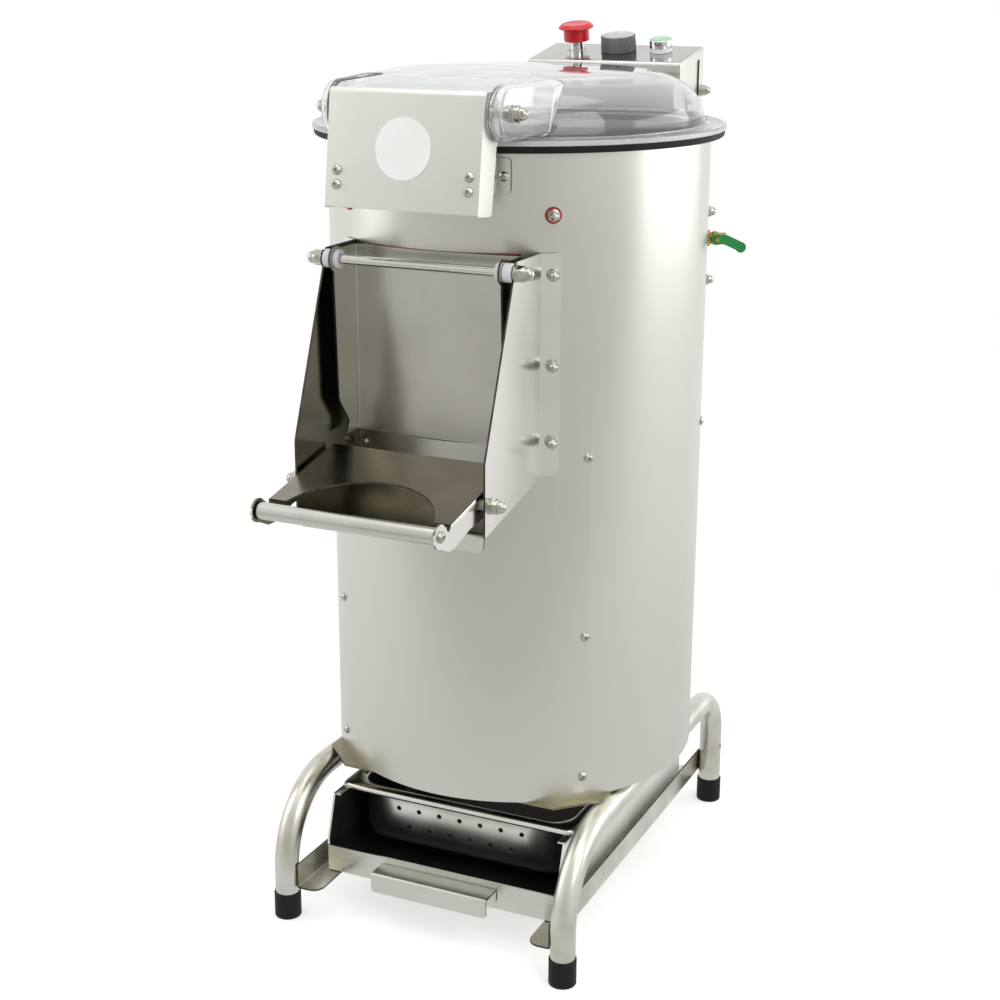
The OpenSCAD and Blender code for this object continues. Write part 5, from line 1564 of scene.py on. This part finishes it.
@dataclass
class Studio:
    """Camera, lamps, floor and the room that metal and glass mirror."""

    eye: tuple[float, float, float] = (0.7450, -1.6227, 0.9623)
    yaw: float = 24.745
    pitch: float = 16.914
    roll: float = 0.230
    lens: float = 64.79
    lamps: tuple[Lamp, ...] = (
        Lamp("key", (1.7, -0.9, 1.9), (0.0, 0.0, 0.5), (1.2, 1.6), 13.0),
        Lamp("left_fill", (-1.9, -0.8, 1.3), (0.0, 0.0, 0.45), (1.0, 1.8), 7.0),
        Lamp("top", (0.0, -0.2, 2.4), (0.0, 0.0, 0.4), (1.6, 1.6), 10.0),
        Lamp("right_panel", (1.75, 1.15, 0.95), (0.0, 0.0, 0.6), (2.0, 1.1), 10.0),
    )

    def camera(self) -> None:
        """Places the camera."""
        yaw, pitch, roll = (math.radians(a) for a in (self.yaw, self.pitch, self.roll))
        ahead = Vector((-math.sin(yaw) * math.cos(pitch), math.cos(yaw) * math.cos(pitch), -math.sin(pitch)))
        level = ahead.cross(Vector((0, 0, 1))).normalized()
        rise = level.cross(ahead)
        right = level * math.cos(roll) + rise * math.sin(roll)
        turn = Matrix((right, right.cross(ahead), -ahead)).transposed()
        data = bpy.data.cameras.new("camera")
        data.lens = self.lens
        data.sensor_width = 36.0
        data.clip_start = 0.01
        data.clip_end = 50.0
        obj = bpy.data.objects.new("camera", data)
        obj.matrix_world = Matrix.Translation(self.eye) @ turn.to_4x4()
        bpy.context.scene.collection.objects.link(obj)
        bpy.context.scene.camera = obj

    def surroundings(self, tree: Tree, way: Socket) -> Socket:
        """Gives what a mirror sees in a direction: pale walls, dimmer behind the camera.

        Args:
            tree: The node tree.
            way: The direction.

        Returns:
            The colour.
        """
        toward = add(tree, "VectorMath", {0: way, 1: (0.28, -0.96, 0.0)}, operation="DOT_PRODUCT")
        return ramp(tree, toward.outputs["Value"], [
            (0.0, (1.0, 1.0, 1.0, 1)), (0.45, (0.95, 0.95, 0.95, 1)), (0.78, (0.78, 0.78, 0.76, 1)),
            (0.98, (0.64, 0.63, 0.60, 1)),
        ])

    def mix(self, tree: Tree, share: Socket, first: bpy.types.Node, second: bpy.types.Node) -> bpy.types.Node:
        """Mixes two shaders.

        Args:
            tree: The node tree.
            share: How much of the second one shows.
            first: The first shader.
            second: The second shader.

        Returns:
            The mix.
        """
        return add(tree, "MixShader", {0: share, 1: first.outputs[0], 2: second.outputs[0]})

    def room(self) -> None:
        """Makes the world: white to the eye, pale walls for mirrors, even fill for matt faces."""
        world = bpy.data.worlds.new("studio_room")
        bpy.context.scene.world = world
        world.use_nodes = True
        tree = world.node_tree
        tree.nodes.clear()
        rays = add(tree, "LightPath", {}).outputs
        wall = self.surroundings(tree, add(tree, "TexCoord", {}).outputs["Generated"])
        mirror = add(tree, "Background", {"Color": wall, "Strength": 1.0})
        fill = add(tree, "Background", {"Color": WHITE, "Strength": 0.78})
        white = add(tree, "Background", {"Color": WHITE, "Strength": 1.0})
        metal = self.mix(tree, rays["Is Glossy Ray"], fill, mirror)
        glass = self.mix(tree, rays["Is Transmission Ray"], metal, white)
        seen = self.mix(tree, rays["Is Camera Ray"], glass, white)
        add(tree, "OutputWorld", {"Surface": seen.outputs[0]})

    def paper(self) -> bpy.types.Material:
        """Makes matt white paper: grey by the object's shadow, white further off.

        Returns:
            The material. Mirrors see pale walls in it, darker near the object by a painted shadow.
        """
        material = bpy.data.materials.new("matt_white_paper")
        material.use_nodes = True
        tree = material.node_tree
        tree.nodes.clear()
        rays = add(tree, "LightPath", {}).outputs
        place = add(tree, "TexCoord", {}).outputs["Object"]
        away = add(tree, "VectorMath", {0: place}, operation="LENGTH").outputs["Value"]
        sheet = add(tree, "BsdfDiffuse", {"Color": linear("d8d8d6")})
        glow = add(tree, "Emission", {"Color": WHITE, "Strength": 0.5})
        near = add(tree, "AddShader", {0: sheet.outputs[0], 1: glow.outputs[0]})
        white = add(tree, "Emission", {"Color": WHITE, "Strength": 1.0})
        fade = add(
            tree, "MapRange", {"Value": away, "From Min": 0.45, "From Max": 1.3},
            interpolation_type="SMOOTHSTEP",
        )
        seen = self.mix(tree, fade.outputs["Result"], near, white)
        # Mirrors see the floor dimmer near the object: a painted shadow
        dim = add(tree, "MapRange", {
            "Value": away, "From Min": 0.3, "From Max": 2.2, "To Min": 0.80, "To Max": 1.0,
        })
        way = add(tree, "VectorMath", {0: place, "Scale": 0.85}, operation="SCALE").outputs["Vector"]
        mirror = add(tree, "Emission", {
            "Color": self.surroundings(tree, way), "Strength": dim.outputs["Result"],
        })
        other = self.mix(tree, rays["Is Glossy Ray"], sheet, mirror)
        direct = add(
            tree, "Math", {0: rays["Is Camera Ray"], 1: rays["Is Transmission Ray"]},
            operation="ADD", use_clamp=True,
        )
        both = self.mix(tree, direct.outputs[0], other, seen)
        add(tree, "OutputMaterial", {"Surface": both.outputs[0]})
        return material

    def floor(self) -> None:
        """Lays the pale floor, which keeps the object's shadow."""
        bm = bmesh.new()
        bmesh.ops.create_grid(bm, x_segments=1, y_segments=1, size=6.0)
        mesh = bpy.data.meshes.new("studio_floor")
        bm.to_mesh(mesh)
        bm.free()
        mesh.materials.append(self.paper())
        obj = bpy.data.objects.new("studio_floor", mesh)
        bpy.context.scene.collection.objects.link(obj)
        obj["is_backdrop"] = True

    def build(self) -> None:
        """Builds the whole studio."""
        bpy.context.scene.view_settings.view_transform = "Standard"
        self.camera()
        self.room()
        self.floor()
        for lamp in self.lamps:
            lamp.build()


def write_sizes(before: Sequence[Sequence[float]]) -> None:
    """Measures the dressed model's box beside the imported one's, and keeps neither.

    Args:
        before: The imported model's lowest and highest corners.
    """
    after = [list(corner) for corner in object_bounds()]
    {"cad": [list(c) for c in before], "visual": after}


def main() -> None:
    """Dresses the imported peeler, piece by piece."""
    logging.basicConfig(level=logging.INFO, format="%(name)s %(message)s")
    before = [list(corner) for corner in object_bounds()]
    parts = (
        Studio(), NodeDress(), SheetParts(), SmallParts(), WindowTrim(),
        Lid(), HingeCover(), Strainer(), PeelTray(), Controls(),
    )
    for part in parts:
        part.build()
    write_sizes(before)


if __name__ == "__main__":
    main()
